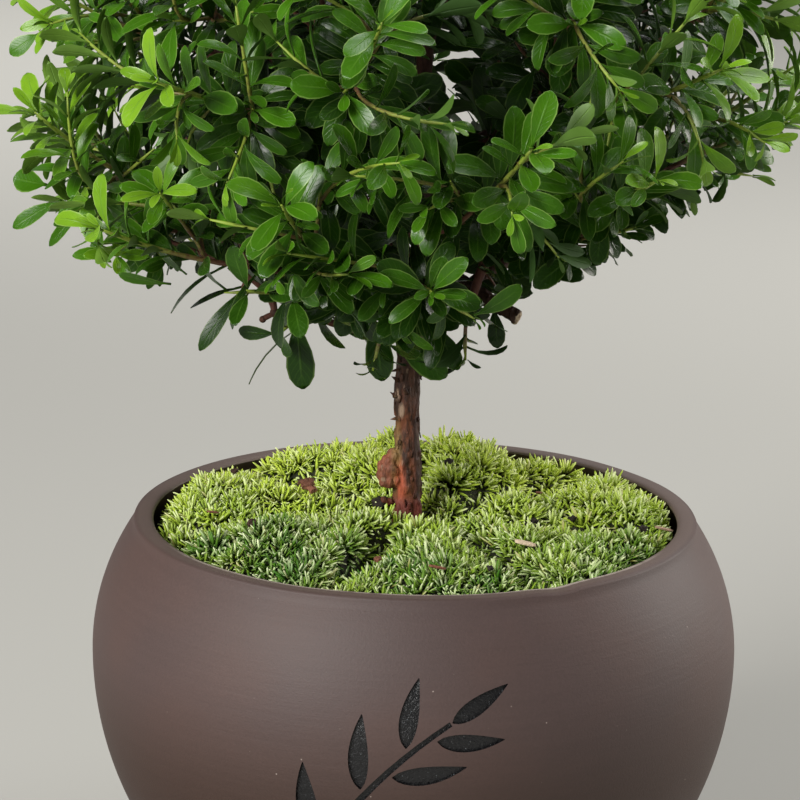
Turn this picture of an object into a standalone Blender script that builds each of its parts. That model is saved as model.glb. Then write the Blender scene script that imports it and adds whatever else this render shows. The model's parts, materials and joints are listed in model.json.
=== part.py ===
"""A Syzygium buxifolium bonsai in a round brown clay pot.

Units are metres, +Z is up, and the origin lies under the centre of the pot's foot.
The pot, the drain screen and the soil are turned shapes. The moss lies on the soil in
separate cushions. The tree is one trunk with its limbs, and each leafy branch at the end
of a limb is a solid of its own: a twig with its side shoots and its opposite leaves.
"""

import math
import random

import bmesh
import bpy
from mathutils import Matrix, Vector
from mathutils.bvhtree import BVHTree

# Pot
RIM_Z = 0.116
BELLY_R = 0.090
BELLY_DROP = 0.038
SHOULDER_RISE = 0.074
LOWER_FALL = 0.094
WALL = 0.0048
LIP_ROUND = 0.0018
FOOT_CHAMFER = 0.0012
FOOT_WIDTH = 0.0065
FOOT_HEIGHT = 0.003
FLOOR_TOP = 0.010
FLOOR_ROUND = 0.009
INNER_FOOT_Z = 0.018
DRAIN_R = 0.008
TURN_STEPS = 32

# Drain screen
SCREEN_R = 0.016
SCREEN_THICK = 0.001
SCREEN_HOLE_R = 0.0012
SCREEN_PITCH = 0.0045

# Soil and moss
GAP = 0.0003
SOIL_GAP = 0.0004
SOIL_Z = RIM_Z - 0.012
STEM_X, STEM_Y = -0.0022, -0.0015
STEM_HOLE_R = 0.0054
STEM_HOLE_DEPTH = 0.028
MOSS_R = 0.0718
MOSS_SEAM = 0.0009
MOSS_MIDDLE_RISE = 0.0024
MOSS_FALL = 0.0056
MOSS_POINTS = 16
MOSS_DOME = 2.2
MOSS_RELIEF = 0.0008
# Each cushion's middle (x, y) and the height of its crown over the rim
MOSS_CUSHIONS = [
    (-0.034, -0.030, 0.0048),
    (0.006, -0.048, 0.0012),
    (0.044, -0.028, 0.0018),
    (0.050, 0.014, 0.0030),
    (0.022, 0.040, 0.0105),
    (-0.018, 0.044, 0.0085),
    (-0.050, 0.014, 0.0050),
]
TRUNK_CLEAR_R = 0.0064

# Trunk: points up its middle line, with its radius there
TRUNK_LINE = [
    ((STEM_X, STEM_Y, SOIL_Z - STEM_HOLE_DEPTH + GAP), STEM_HOLE_R - 2 * GAP),
    ((STEM_X, STEM_Y, SOIL_Z), STEM_HOLE_R - 2 * GAP),
    ((-0.0024, -0.0015, RIM_Z + 0.004), 0.0044),
    ((-0.0022, -0.0010, RIM_Z + 0.016), 0.0039),
    ((-0.0031, 0.0000, RIM_Z + 0.034), 0.0037),
    ((-0.0014, 0.0010, RIM_Z + 0.052), 0.0038),
    ((0.0012, 0.0020, RIM_Z + 0.080), 0.0030),
    ((0.0010, 0.0000, RIM_Z + 0.108), 0.0022),
    ((0.0000, -0.0020, RIM_Z + 0.136), 0.0016),
]
BURL_LINE = [
    ((-0.0035, -0.0020, RIM_Z + 0.0205), 0.0020),
    ((-0.0070, -0.0030, RIM_Z + 0.0155), 0.0025),
    ((-0.0078, -0.0034, RIM_Z + 0.0100), 0.0021),
]
PRUNED_LINE = [
    ((0.0000, 0.0000, RIM_Z + 0.0735), 0.0024),
    ((0.0100, -0.0050, RIM_Z + 0.0685), 0.0022),
    ((0.0272, -0.0155, RIM_Z + 0.0600), 0.0020),
]

# Crown: how far its edge lies from the crown's fork, by the angle from upright
FORK = Vector((0.0033, -0.0014, RIM_Z + 0.062))
REACH = [
    (0, 0.163), (25, 0.160), (45, 0.150), (62, 0.134), (76, 0.119), (86, 0.090),
    (96, 0.064), (110, 0.045),
]
RIGHT_LIFT = 10.0
# The crown's underside: heights over the rim by the distance from the fork's axis
UNDERSIDE = [
    (0.0, 0.040), (0.030, 0.046), (0.058, 0.055), (0.086, 0.069), (0.114, 0.090),
]
# How much higher it is on the right, by X
RIGHT_RISE = [(0.0, 0.0), (0.050, 0.022), (0.100, 0.034)]
UPPER_BRANCHES = 34
LOWER_BRANCHES = 8
TOP_ANGLE, SIDE_ANGLE = 7, 74
# The lowest branches end this far from the fork's axis, in turn. No branch ends lower
# over the underside than LOW_RISE.
LOW_REACH = (0.098, 0.074)
LOW_RISE = 0.008
LOW = 80
# Tips of the short shoots that hang over the trunk
HANGING_TIPS = [
    (-0.038, -0.014, RIM_Z + 0.054),
    (-0.012, -0.024, RIM_Z + 0.047),
    (0.013, -0.019, RIM_Z + 0.049),
    (0.021, 0.020, RIM_Z + 0.058),
    (-0.018, 0.025, RIM_Z + 0.050),
]
GOLDEN_TURN = math.radians(137.508)
# Each tier of limbs: steepest and flattest angle it serves, how many limbs, and the
# height on the trunk where its lowest limb leaves
LIMB_TIERS = [(0, 30, 1, 0.120), (30, 57, 4, 0.080), (57, 180, 5, 0.051)]
LIMB_SHARE = 0.46
LIMB_SPACING = 0.005
LIMB_SAG = 0.004
LIMB_BOW = 0.004
LIMB_R = 0.0024
LEADER_R = 0.0018
LIMB_TAPER = 0.28
BRANCH_SPREAD = 0.62
LAST_BRANCH = 0.97
STUB_SWAY = 0.005
STUB_SAG = 0.003
TWIG_START = 0.44
TWIG_PULL = 0.45
TIP_MARGIN = 0.010
HANGING = 150
SEED = 46

# Twigs and leaves
STUB_ROOT_R = 0.0016
STUB_R = 0.0014
TWIG_HALF = 0.0010
SHOOT_HALF = 0.0008
BAND = 0.0013
PAIR_SHARES = (0.0, 0.36, 0.70, 1.0)
SHORT_TWIG = 0.020
SHORT_SHARES = (0.0, 1.0)
SHOOT_PAIR = 1
SHOOT_LENGTH = (0.015, 0.019)
SHOOT_BOW = 0.0012
TIP_SWAY = 0.005
LEAF_LENGTH = 0.0175
LEAF_HALF_WIDTH = 0.0041
# Share of a leaf's length, of its width and of its thickness, row by row
FULL_ROWS = [(0.36, 0.64, 1.0), (0.72, 1.0, 1.0), (1.0, 0.42, 0.86)]
PLAIN_ROWS = [(0.60, 0.98, 1.0), (1.0, 0.46, 0.86)]
LEAF_HALF_THICK = 0.00035
LEAF_CURL = (0.38, 0.98)
LEAF_LIGHT = 0.35
# How far leaves lean off their twig, in degrees, and their sizes, on the twig itself, at
# its tip and on its side shoots
TWIG_SPLAY, TIP_SPLAY, SHOOT_SPLAY = (50, 62), 34, (34, 46)
TWIG_SIZES, TIP_SIZE, SHOOT_SIZES = (0.92, 1.12), 0.90, (0.85, 1.02)
CLEARANCE = 0.0004
TRIES = 10
TWIG_TRIES = 24
WELD = 0.00001

COLOURS = {
    "clay": ((0.150, 0.098, 0.082), 0.62),
    "screen": ((0.03, 0.03, 0.03), 0.55),
    "soil": ((0.035, 0.024, 0.017), 0.95),
    "moss": ((0.16, 0.29, 0.035), 0.90),
    "bark": ((0.13, 0.060, 0.038), 0.85),
    "leaf": ((0.050, 0.190, 0.020), 0.38),
}


def clear_scene():
    """Removes what the scene starts with."""
    for thing in list(bpy.data.objects):
        bpy.data.objects.remove(thing, do_unlink=True)


def new_collection(name):
    """A new collection in the scene."""
    made = bpy.data.collections.new(name)
    bpy.context.scene.collection.children.link(made)
    return made


def make_material(name):
    """A plain surface in one of the colours of the object."""
    colour, roughness = COLOURS[name]
    material = bpy.data.materials.new(name)
    material.use_nodes = True
    shader = material.node_tree.nodes["Principled BSDF"]
    shader.inputs["Base Color"].default_value = (*colour, 1.0)
    shader.inputs["Roughness"].default_value = roughness
    shader.inputs["Metallic"].default_value = 0.0
    return material


def object_from(name, bm, home):
    """A mesh object made from a bmesh, which is used up."""
    mesh = bpy.data.meshes.new(name)
    bm.to_mesh(mesh)
    bm.free()
    made = bpy.data.objects.new(name, mesh)
    home.objects.link(made)
    return made


def evaluated_mesh(thing):
    """The mesh of an object with its modifiers applied, or of a curve."""
    bpy.context.view_layer.update()
    graph = bpy.context.evaluated_depsgraph_get()
    return bpy.data.meshes.new_from_object(thing.evaluated_get(graph))


def weld(mesh):
    """Joins the corners of a mesh that lie in the same place."""
    bm = bmesh.new()
    bm.from_mesh(mesh)
    bmesh.ops.remove_doubles(bm, verts=bm.verts, dist=WELD)
    bmesh.ops.recalc_face_normals(bm, faces=bm.faces)
    bm.to_mesh(mesh)
    bm.free()


def turned(name, profile, home, closed):
    """A solid of revolution about Z. The profile runs down its outer side."""
    bm = bmesh.new()
    corners = [bm.verts.new((r, 0.0, z)) for r, z in profile]
    for first, second in zip(corners, corners[1:]):
        bm.edges.new((first, second))
    if closed:
        bm.edges.new((corners[-1], corners[0]))
    made = object_from(name, bm, home)
    screw = made.modifiers.new("turn", "SCREW")
    screw.steps = screw.render_steps = TURN_STEPS
    screw.use_merge_vertices = True
    screw.merge_threshold = WELD
    screw.use_smooth_shade = True
    return made


def tube(name, line, sides, home):
    """A closed mesh tube through points with a radius each. It has 4, 6, 8 ... sides."""
    data = bpy.data.curves.new(name, "CURVE")
    data.dimensions = "3D"
    data.bevel_depth = 1.0
    data.bevel_resolution = (sides - 4) // 2
    data.use_fill_caps = True
    spline = data.splines.new("POLY")
    spline.points.add(len(line) - 1)
    for point, (place, radius) in zip(spline.points, line):
        point.co = (*place, 1.0)
        point.radius = radius
    curve = bpy.data.objects.new(name, data)
    home.objects.link(curve)
    made = bpy.data.objects.new(name, evaluated_mesh(curve))
    weld(made.data)
    bpy.data.objects.remove(curve, do_unlink=True)
    bpy.data.curves.remove(data)
    home.objects.link(made)
    made.name = name
    return made


def fuse(body, repeats, name):
    """Joins the objects of a collection to a body, and removes them."""
    joined = body.modifiers.new("fuse", "BOOLEAN")
    joined.operation = "UNION"
    joined.operand_type = "COLLECTION"
    joined.collection = repeats
    mesh = evaluated_mesh(body)
    body.modifiers.clear()
    body.data = mesh
    mesh.name = body.name = name
    for piece in list(repeats.objects):
        bpy.data.objects.remove(piece, do_unlink=True)
    bpy.data.collections.remove(repeats)
    return body


def cut(body, cutter):
    """Takes a hidden cutter's shape out of a body."""
    cutter.hide_render = True
    cutter.display_type = "WIRE"
    hole = body.modifiers.new(cutter.name, "BOOLEAN")
    hole.operation = "DIFFERENCE"
    hole.object = cutter


def pot_radius(z):
    """The pot's outer radius at a height: two half ellipses that meet at the belly."""
    drop = RIM_Z - z - BELLY_DROP
    share = drop / (LOWER_FALL if drop > 0 else SHOULDER_RISE)
    return BELLY_R * math.sqrt(1.0 - share * share)


def inner_wall():
    """The pot's inner wall, as heights and radii."""
    return [(z, pot_radius(z) - WALL) for z in heights(INNER_FOOT_Z, RIM_Z - LIP_ROUND, 6)]


def heights(first, last, count):
    """Evenly spaced heights, with both ends."""
    return [first + (last - first) * i / (count - 1) for i in range(count)]


def build_pot(home):
    """The pot: a rounded lip, a round belly, a low foot ring and one drain hole."""
    lip_out, wall = pot_radius(RIM_Z), inner_wall()
    lip_in = wall[-1][1]
    slant = LIP_ROUND * 0.3
    profile = [(lip_in + LIP_ROUND, RIM_Z), (lip_out - LIP_ROUND, RIM_Z)]
    profile += [(lip_out - slant, RIM_Z - slant)]
    profile += [(pot_radius(z), z) for z in heights(RIM_Z - LIP_ROUND, FOOT_HEIGHT, 9)]
    foot = pot_radius(FOOT_HEIGHT) - FOOT_CHAMFER
    profile += [(foot, 0.0), (foot - FOOT_WIDTH, 0.0)]
    profile += [(foot - FOOT_WIDTH - FOOT_CHAMFER, FOOT_HEIGHT), (DRAIN_R, FOOT_HEIGHT)]
    profile += [(DRAIN_R, FLOOR_TOP), (wall[0][1] - FLOOR_ROUND, FLOOR_TOP)]
    profile += [(radius, z) for z, radius in wall]
    profile += [(lip_in + slant, RIM_Z - slant)]
    return turned("pot", profile, home, closed=True)


def build_screen(home, cutters):
    """The plastic screen over the drain hole, with its grid of holes."""
    bm = bmesh.new()
    middle = Matrix.Translation((0, 0, FLOOR_TOP + GAP + SCREEN_THICK / 2))
    bmesh.ops.create_cone(
        bm, cap_ends=True, segments=16, radius1=SCREEN_R, radius2=SCREEN_R,
        depth=SCREEN_THICK, matrix=middle,
    )
    screen = object_from("drain_screen", bm, home)
    bm = bmesh.new()
    for column in range(-1, 2):
        for row in range(-1, 2):
            place = (column * SCREEN_PITCH, row * SCREEN_PITCH, 0)
            bmesh.ops.create_cone(
                bm, cap_ends=True, segments=4, radius1=SCREEN_HOLE_R,
                radius2=SCREEN_HOLE_R, depth=4 * SCREEN_THICK,
                matrix=Matrix.Translation(place) @ middle,
            )
    cut(screen, object_from("screen_holes", bm, cutters))
    return screen


def build_soil(home, cutters):
    """The soil: it fills the pot up to under the rim, with a plain hole for the stem."""
    floor, over_screen = FLOOR_TOP + GAP, FLOOR_TOP + SCREEN_THICK + 2 * GAP
    wall = inner_wall()
    levels = [SOIL_Z] + [z for z, _ in reversed(wall) if z < SOIL_Z]
    profile = [(0.0, SOIL_Z)]
    profile += [(interpolate(wall, z) - SOIL_GAP, z) for z in levels]
    profile += [(wall[0][1] - FLOOR_ROUND - SOIL_GAP, floor), (SCREEN_R + GAP, floor)]
    profile += [(SCREEN_R + GAP, over_screen), (0.0, over_screen)]
    soil = turned("soil", profile, home, closed=False)
    bm = bmesh.new()
    bmesh.ops.create_cone(
        bm, cap_ends=True, segments=16, radius1=STEM_HOLE_R, radius2=STEM_HOLE_R,
        depth=2 * STEM_HOLE_DEPTH, matrix=Matrix.Translation((STEM_X, STEM_Y, SOIL_Z)),
    )
    cut(soil, object_from("stem_hole", bm, cutters))
    return soil


def cell_reach(middle, others, turn):
    """How far a moss cushion grows from its middle one way, before it meets the half way
    line to a neighbour, the pot's wall or the clear ring round the trunk."""
    way = Vector((math.cos(turn), math.sin(turn)))
    along_way = middle.dot(way)
    far = math.sqrt(along_way ** 2 - middle.length_squared + MOSS_R ** 2) - along_way
    for other in others:
        apart = other - middle
        toward = apart.dot(way)
        if toward > 0:
            far = min(far, (apart.length_squared / 2) / toward - MOSS_SEAM / 2)
    stem = Vector((STEM_X, STEM_Y)) - middle
    toward = stem.dot(way)
    across = stem.length_squared - toward ** 2
    if toward > 0 and across < TRUNK_CLEAR_R ** 2:
        far = min(far, toward - math.sqrt(TRUNK_CLEAR_R ** 2 - across))
    return far


def seam_height(spot):
    """The height of the moss at its seams, which falls from the middle to the wall."""
    return RIM_Z + MOSS_MIDDLE_RISE - MOSS_FALL * spot.length_squared / MOSS_R ** 2


def moss_height(spot, crown, share):
    """The height of a cushion over a spot, at a share of the way from its middle."""
    seam = seam_height(spot)
    return crown - (crown - seam) * share ** MOSS_DOME


def build_moss(home):
    """Moss cushions side by side on the soil, each a low dome with a tufted surface."""
    middles = [Vector((x, y)) for x, y, _ in MOSS_CUSHIONS]
    shares = (0.45, 0.80, 1.0, 0.985)
    made = []
    for index, (_, _, rise) in enumerate(MOSS_CUSHIONS):
        middle = middles[index]
        others = middles[:index] + middles[index + 1:]
        bm = bmesh.new()
        bmesh.ops.create_uvsphere(
            bm, u_segments=MOSS_POINTS, v_segments=len(shares) + 1, radius=1.0
        )
        for corner in bm.verts:
            x, y, z = corner.co
            share_down = math.acos(max(-1.0, min(1.0, z))) / math.pi
            level = round(share_down * (len(shares) + 1)) - 1
            share = 0.0 if level in (-1, len(shares)) else shares[level]
            turn = math.atan2(y, x)
            way = Vector((math.cos(turn), math.sin(turn)))
            spot = middle + way * cell_reach(middle, others, turn) * share
            lift = SOIL_Z + GAP
            if level < 3:
                lift = moss_height(spot, RIM_Z + rise, share)
            if level in (0, 1):
                odd = (round(turn / (2 * math.pi) * MOSS_POINTS) + level) % 2
                lift += MOSS_RELIEF * (1 if odd else -1)
            corner.co = (spot.x, spot.y, lift)
        made.append(object_from(f"moss_cushion_{index + 1}", bm, home))
    return made


def interpolate(table, value):
    """A value read between the rows of a table."""
    for (low, first), (high, last) in zip(table, table[1:]):
        if value <= high:
            return first + (last - first) * max(0.0, value - low) / (high - low)
    return table[-1][1]


def direction(angle, turn):
    """The unit vector at an angle from upright, in degrees, turned about Z."""
    tilt = math.radians(angle)
    return Vector(
        (math.sin(tilt) * math.cos(turn), math.sin(tilt) * math.sin(turn), math.cos(tilt))
    )


def underside(point):
    """The height of the crown's underside over or under a point."""
    away = Vector((point.x - FORK.x, point.y - FORK.y))
    return RIM_Z + interpolate(UNDERSIDE, away.length) + interpolate(RIGHT_RISE, away.x)


def branch_tips():
    """The angle from upright, the turn and the tip of each leafy branch."""
    tips = []
    top, side = math.cos(math.radians(TOP_ANGLE)), math.cos(math.radians(SIDE_ANGLE))
    for i in range(UPPER_BRANCHES):
        height = top + (side - top) * (i + 0.5) / UPPER_BRANCHES
        tips.append((math.degrees(math.acos(height)), i * GOLDEN_TURN))
    placed = []
    for angle, turn in tips:
        lifted = angle + RIGHT_LIFT * max(0.0, math.cos(turn)) * min(1.0, angle / 60)
        reach = interpolate(REACH, lifted) - TIP_MARGIN
        placed.append((angle, turn, FORK + direction(angle, turn) * reach))
    for i in range(LOWER_BRANCHES):
        turn = 2 * math.pi * i / LOWER_BRANCHES
        placed.append((LOW, turn, FORK + direction(90, turn) * LOW_REACH[i % 2]))
    for angle, _, tip in placed:
        least = underside(tip) + LOW_RISE
        tip.z = least if angle == LOW else max(tip.z, least)
    for place in HANGING_TIPS:
        tip = Vector(place)
        placed.append((HANGING, math.atan2(tip.y, tip.x), tip))
    return placed


def along(line, share):
    """The point at a share of a curve given by its start, its pull and its end."""
    start, pull, end = line
    return start * (1 - share) ** 2 + pull * 2 * share * (1 - share) + end * share ** 2


def heading(line, share):
    """The unit direction of such a curve at a share of it."""
    start, pull, end = line
    return ((pull - start) * (1 - share) + (end - pull) * share).normalized()


def trunk_at(height):
    """The trunk's middle line at a height over the rim."""
    table = [(point[2] - RIM_Z, Vector(point)) for point, _ in TRUNK_LINE]
    return interpolate(table, height)


def plan_tree():
    """The limbs and the leafy branches. A limb is its curve and its radius. A branch is
    the two ends of its stub on the limb, its twig's curve and a way square to it."""
    tips = branch_tips()
    limbs, branches = [], []
    for steep, flat, count, lowest in LIMB_TIERS:
        tier = [tip for tip in tips if steep <= tip[0] < flat]
        groups = [[] for _ in range(count)]
        for tip in tier:
            sector = (tip[1] % (2 * math.pi)) / (2 * math.pi) * count
            groups[int(sector) % count].append(tip)
        for index, group in enumerate(groups):
            reached = [tip for angle, _, tip in group if angle != HANGING]
            middle = sum(reached, Vector()) / len(reached)
            start = trunk_at(lowest + LIMB_SPACING * index)
            end = start.lerp(middle, LIMB_SHARE)
            end.z -= LIMB_SAG if count > 1 else 0.0
            limb = (start, start.lerp(end, 0.5) + Vector((0, 0, LIMB_BOW)), end)
            limbs.append((limb, LIMB_R if count > 1 else LEADER_R))
            group.sort(key=lambda tip: (tip[2] - end).length, reverse=True)
            for place, (_, _, tip) in enumerate(group):
                share = 1.0 - BRANCH_SPREAD * place / max(1, len(group) - 1)
                root = along(limb, min(share, LAST_BRANCH))
                branches.append(plan_branch(len(branches), root, tip))
    return limbs, branches


def plan_branch(index, root, tip):
    """The stub and the twig of one leafy branch, from its limb to its tip."""
    rng = random.Random(SEED + index)
    sway = Vector([rng.uniform(-STUB_SWAY, STUB_SWAY) for _ in range(3)])
    curve = (root, root.lerp(tip, 0.5) + sway - Vector((0, 0, STUB_SAG)), tip)
    joint = along(curve, TWIG_START)
    way = (joint - root).normalized()
    start = joint + way * CLEARANCE
    pull = start + way * ((tip - start).length * TWIG_PULL)
    turn = rng.uniform(0, math.pi)
    across = way.cross(Vector((0, 0, 1)))
    across = across.normalized() if across.length > 0.05 else Vector((1, 0, 0))
    hint = across * math.cos(turn) + way.cross(across) * math.sin(turn)
    return (root, joint), (start, pull, tip), hint


class Section:
    """A rectangle across a twig or a leaf: its middle, its axes and its half sizes.
    Its side, its up and the way it grows are square to each other."""

    def __init__(self, middle, way, hint, half_side, half_up):
        self.middle = middle
        self.way = way.normalized()
        self.side = hint.cross(self.way).normalized()
        self.up = self.way.cross(self.side)
        self.half_side = half_side
        self.half_up = half_up

    def corner(self, right, top, grow=0.0):
        """A corner, with right and top each 1 or -1."""
        across = self.side * (right * (self.half_side + grow))
        return self.middle + across + self.up * (top * (self.half_up + grow))

    def signs(self, point):
        """Which corner a point is nearest to, as right and top."""
        offset = point - self.middle
        return 1 if offset.dot(self.side) > 0 else -1, 1 if offset.dot(self.up) > 0 else -1


def solid_of(sections, grow):
    """The points and faces of the solid through some sections, made a little larger all
    round, but smaller at its foot, where its neighbours on the same band touch it."""
    corners = ((1, 1), (-1, 1), (-1, -1), (1, -1))
    points = []
    for part in sections:
        more = grow if part is not sections[0] else -grow / 2
        points += [part.corner(*corner, more) for corner in corners]
    faces = [(0, 1, 2, 3), tuple(len(points) - 4 + i for i in range(4))]
    for row in range(len(sections) - 1):
        for i in range(4):
            j = (i + 1) % 4
            faces.append((4 * row + i, 4 * row + j, 4 * row + 4 + j, 4 * row + 4 + i))
    return points, faces


class Taken:
    """The space that is already filled, for keeping new pieces clear of it."""

    def __init__(self):
        self.pieces = []

    def add(self, points, faces):
        """Notes a piece and gives its number."""
        middle = sum(points, Vector()) / len(points)
        radius = max((point - middle).length for point in points)
        self.pieces.append((middle, radius, BVHTree.FromPolygons(points, faces)))
        return len(self.pieces) - 1

    def add_mesh(self, mesh):
        """Notes an object's mesh."""
        points = [corner.co.copy() for corner in mesh.vertices]
        self.add(points, [list(face.vertices) for face in mesh.polygons])

    def meets(self, points, faces, parent):
        """True if a piece would meet another one, its parent aside."""
        middle = sum(points, Vector()) / len(points)
        radius = max((point - middle).length for point in points)
        tree = BVHTree.FromPolygons(points, faces)
        for number, (centre, reach, taken) in enumerate(self.pieces):
            if number == parent or (centre - middle).length > reach + radius:
                continue
            if tree.overlap(taken):
                return True
        return False


def extrude(bm, face, old, new):
    """Extrudes a face from the old section to the new one."""
    grown = bmesh.ops.extrude_discrete_faces(bm, faces=[face])["faces"][0]
    for corner in grown.verts:
        corner.co = new.corner(*old.signs(corner.co))
    return grown


def start_solid(bm, first, second):
    """Starts a solid with a box between two sections, and gives the box's far face."""
    bmesh.ops.create_cube(bm, size=1.0)
    for corner in bm.verts:
        part = second if corner.co.z > 0 else first
        corner.co = part.corner(1 if corner.co.x > 0 else -1, 1 if corner.co.y > 0 else -1)
    return min(bm.faces, key=lambda face: (face.calc_center_median() - second.middle).length)


def wall_faces(face, section):
    """The four faces round the length of twig under a face, by the way they look: along
    the section's side, up, minus side and minus up."""
    walls = [other for edge in face.edges for other in edge.link_faces if other is not face]
    ways = (section.side, section.up, -section.side, -section.up)
    return [max(walls, key=lambda wall: wall.normal.dot(way)) for way in ways]


def twig_sections(line, hint, pair_shares, half):
    """Two sections for each pair of leaves along a twig, a short band apart."""
    length = (line[2] - line[0]).length
    sections = []
    for share in pair_shares:
        first = max(0.0, min(share, 1.0 - BAND / length))
        for place in (first, first + BAND / length):
            size = half[0] + (half[1] - half[0]) * place
            way = heading(line, place)
            sections.append(Section(along(line, place), way, hint, size, size))
    return sections


def grow_twig(bm, sections, face=None, foot=None):
    """Grows a twig through its sections, as a new solid or from a face with its section.
    Gives the faces round each of its bands, with the section at the band's end."""
    bands = []
    old, rest = foot, sections
    if face is None:
        face, old, rest = start_solid(bm, *sections[:2]), sections[1], sections[2:]
        bm.normal_update()
        bands.append((wall_faces(face, old), old))
    for number, section in enumerate(rest):
        face, old = extrude(bm, face, old, section), section
        if number % 2:
            bm.normal_update()
            bands.append((wall_faces(face, section), section))
    return bands


def leaf_sections(spot, way, hint, size, curl, rows):
    """The sections of a leaf that starts at a spot and bends back as it goes."""
    neck = Section(spot, way, hint, SHOOT_HALF * 0.7, SHOOT_HALF * 0.7)
    sections, middle, last = [neck], spot, 0.0
    for share, width, thick in rows:
        angle = -curl * (share + last) / 2
        bent = neck.way * math.cos(angle) + neck.up * math.sin(angle)
        middle = middle + bent * (LEAF_LENGTH * size * (share - last))
        angle = -curl * share
        bent = neck.way * math.cos(angle) + neck.up * math.sin(angle)
        up = neck.up * math.cos(angle) - neck.way * math.sin(angle)
        half = LEAF_HALF_WIDTH * size * width
        sections.append(Section(middle, bent, up, half, LEAF_HALF_THICK * thick))
        last = share
    return sections


def grow_leaf(bm, taken, rng, parent, wall, section, splay, size, rows):
    """One leaf from a wall of a twig's band, bent clear of all round it, or left out."""
    outward = wall.normal.copy()
    spot = wall.calc_center_median()
    foot = Section(spot, outward, section.way, section.half_side, BAND / 2)
    for attempt in range(TRIES):
        turn = rng.uniform(-0.55, 0.55) if attempt else 0.0
        lean = splay + (rng.uniform(-0.30, 0.30) if attempt else 0.0)
        way = section.way * math.cos(lean) + outward * math.sin(lean)
        way = (way + foot.side * turn * math.sin(lean)).normalized()
        hint = (section.way + Vector((0, 0, LEAF_LIGHT))).normalized()
        curl = rng.uniform(*LEAF_CURL)
        shape = leaf_sections(spot, way, hint, size * (1 - 0.02 * attempt), curl, rows)
        tested = [foot] + shape[1:]
        low = shape[-1].middle
        clear = low.z > min(spot.z, underside(low))
        if clear and not taken.meets(*solid_of(tested, CLEARANCE), parent):
            taken.add(*solid_of(tested, 0.0))
            face, old = wall, foot
            for part in shape[1:]:
                face = extrude(bm, face, old, part)
                old = part
            return 1
    return 0


def grow_pair(bm, taken, rng, parent, band, walls, splay, size, rows):
    """A pair of leaves, on two walls of a band."""
    faces, section = band
    grown = 0
    for wall in walls:
        grown += grow_leaf(bm, taken, rng, parent, faces[wall], section, splay, size, rows)
    return grown


def grow_shoot(bm, taken, rng, parent, wall, section):
    """A side shoot from a wall of a band. Gives its band and its number, or nothing."""
    outward, spot = wall.normal.copy(), wall.calc_center_median()
    foot = Section(spot, outward, section.way, section.half_side, BAND / 2)
    for attempt in range(TRIES):
        turn = rng.uniform(-0.5, 0.5) if attempt else 0.0
        way = (section.way * 0.75 + outward * 0.72 + foot.side * turn).normalized()
        end = spot + way * rng.uniform(*SHOOT_LENGTH)
        line = (spot, spot.lerp(end, 0.4) + outward * SHOOT_BOW, end)
        parts = twig_sections(line, section.way, (1.0,), (SHOOT_HALF, SHOOT_HALF * 0.85))
        tested = [foot] + parts
        if not taken.meets(*solid_of(tested, CLEARANCE), parent):
            bands = grow_twig(bm, parts, wall, foot)
            return bands[0], taken.add(*solid_of(tested, 0.0))
    return None


def build_trunk(limbs, branches, taken, home):
    """The trunk with its burl, its pruned stub, its limbs and the stubs of wood that
    carry the leafy branches, all one solid."""
    pieces = new_collection("wood_pieces")
    trunk = tube("trunk", TRUNK_LINE, 10, home)
    parts = [tube("burl", BURL_LINE, 8, pieces), tube("pruned", PRUNED_LINE, 8, pieces)]
    for limb, radius in limbs:
        line = [(along(limb, i / 3), radius * (1 - LIMB_TAPER * i / 3)) for i in range(4)]
        parts.append(tube("limb", line, 6, pieces))
    for root, _, _ in branches:
        start, end = root
        parts.append(tube("stub", [(start, STUB_ROOT_R), (end, STUB_R)], 4, pieces))
    for part in [trunk] + parts:
        taken.add_mesh(part.data)
    return fuse(trunk, pieces, "trunk_and_limbs")


def build_branch(index, line, hint, taken, home):
    """One leafy branch: its twig, two side shoots and their pairs of leaves."""
    rng = random.Random(1000 + SEED + index)
    start, pull, tip = line
    short = (tip - start).length < SHORT_TWIG
    shares = SHORT_SHARES if short else PAIR_SHARES
    for attempt in range(TWIG_TRIES):
        sections = twig_sections((start, pull, tip), hint, shares, (TWIG_HALF, SHOOT_HALF))
        if not taken.meets(*solid_of(sections, CLEARANCE), None):
            break
        sway = TIP_SWAY * (1 + attempt / 4)
        tip = line[2] + Vector([rng.uniform(-sway, sway) for _ in range(3)])
    else:
        return None, 0
    bm = bmesh.new()
    bands = grow_twig(bm, sections)
    parent = taken.add(*solid_of(sections, 0.0))
    shoots = []
    for wall in (0, 2):
        if not short:
            faces, section = bands[SHOOT_PAIR]
            shoots.append(grow_shoot(bm, taken, rng, parent, faces[wall], section))
    leaves = 0
    for number in reversed(range(len(bands))):
        last = number == len(bands) - 1
        splay = math.radians(TIP_SPLAY if last else rng.uniform(*TWIG_SPLAY))
        size = rng.uniform(*TWIG_SIZES) * (TIP_SIZE if last else 1.0)
        rows = FULL_ROWS if last else PLAIN_ROWS
        walls = (0, 2) if number % 2 == 0 else (1, 3)
        leaves += grow_pair(bm, taken, rng, parent, bands[number], walls, splay, size, rows)
    for band, number in filter(None, shoots):
        splay, size = math.radians(rng.uniform(*SHOOT_SPLAY)), rng.uniform(*SHOOT_SIZES)
        walls = rng.choice(((0, 2), (1, 3)))
        leaves += grow_pair(bm, taken, rng, number, band, walls, splay, size, PLAIN_ROWS)
    return object_from(f"leafy_branch_{index + 1:02d}", bm, home), leaves


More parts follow.
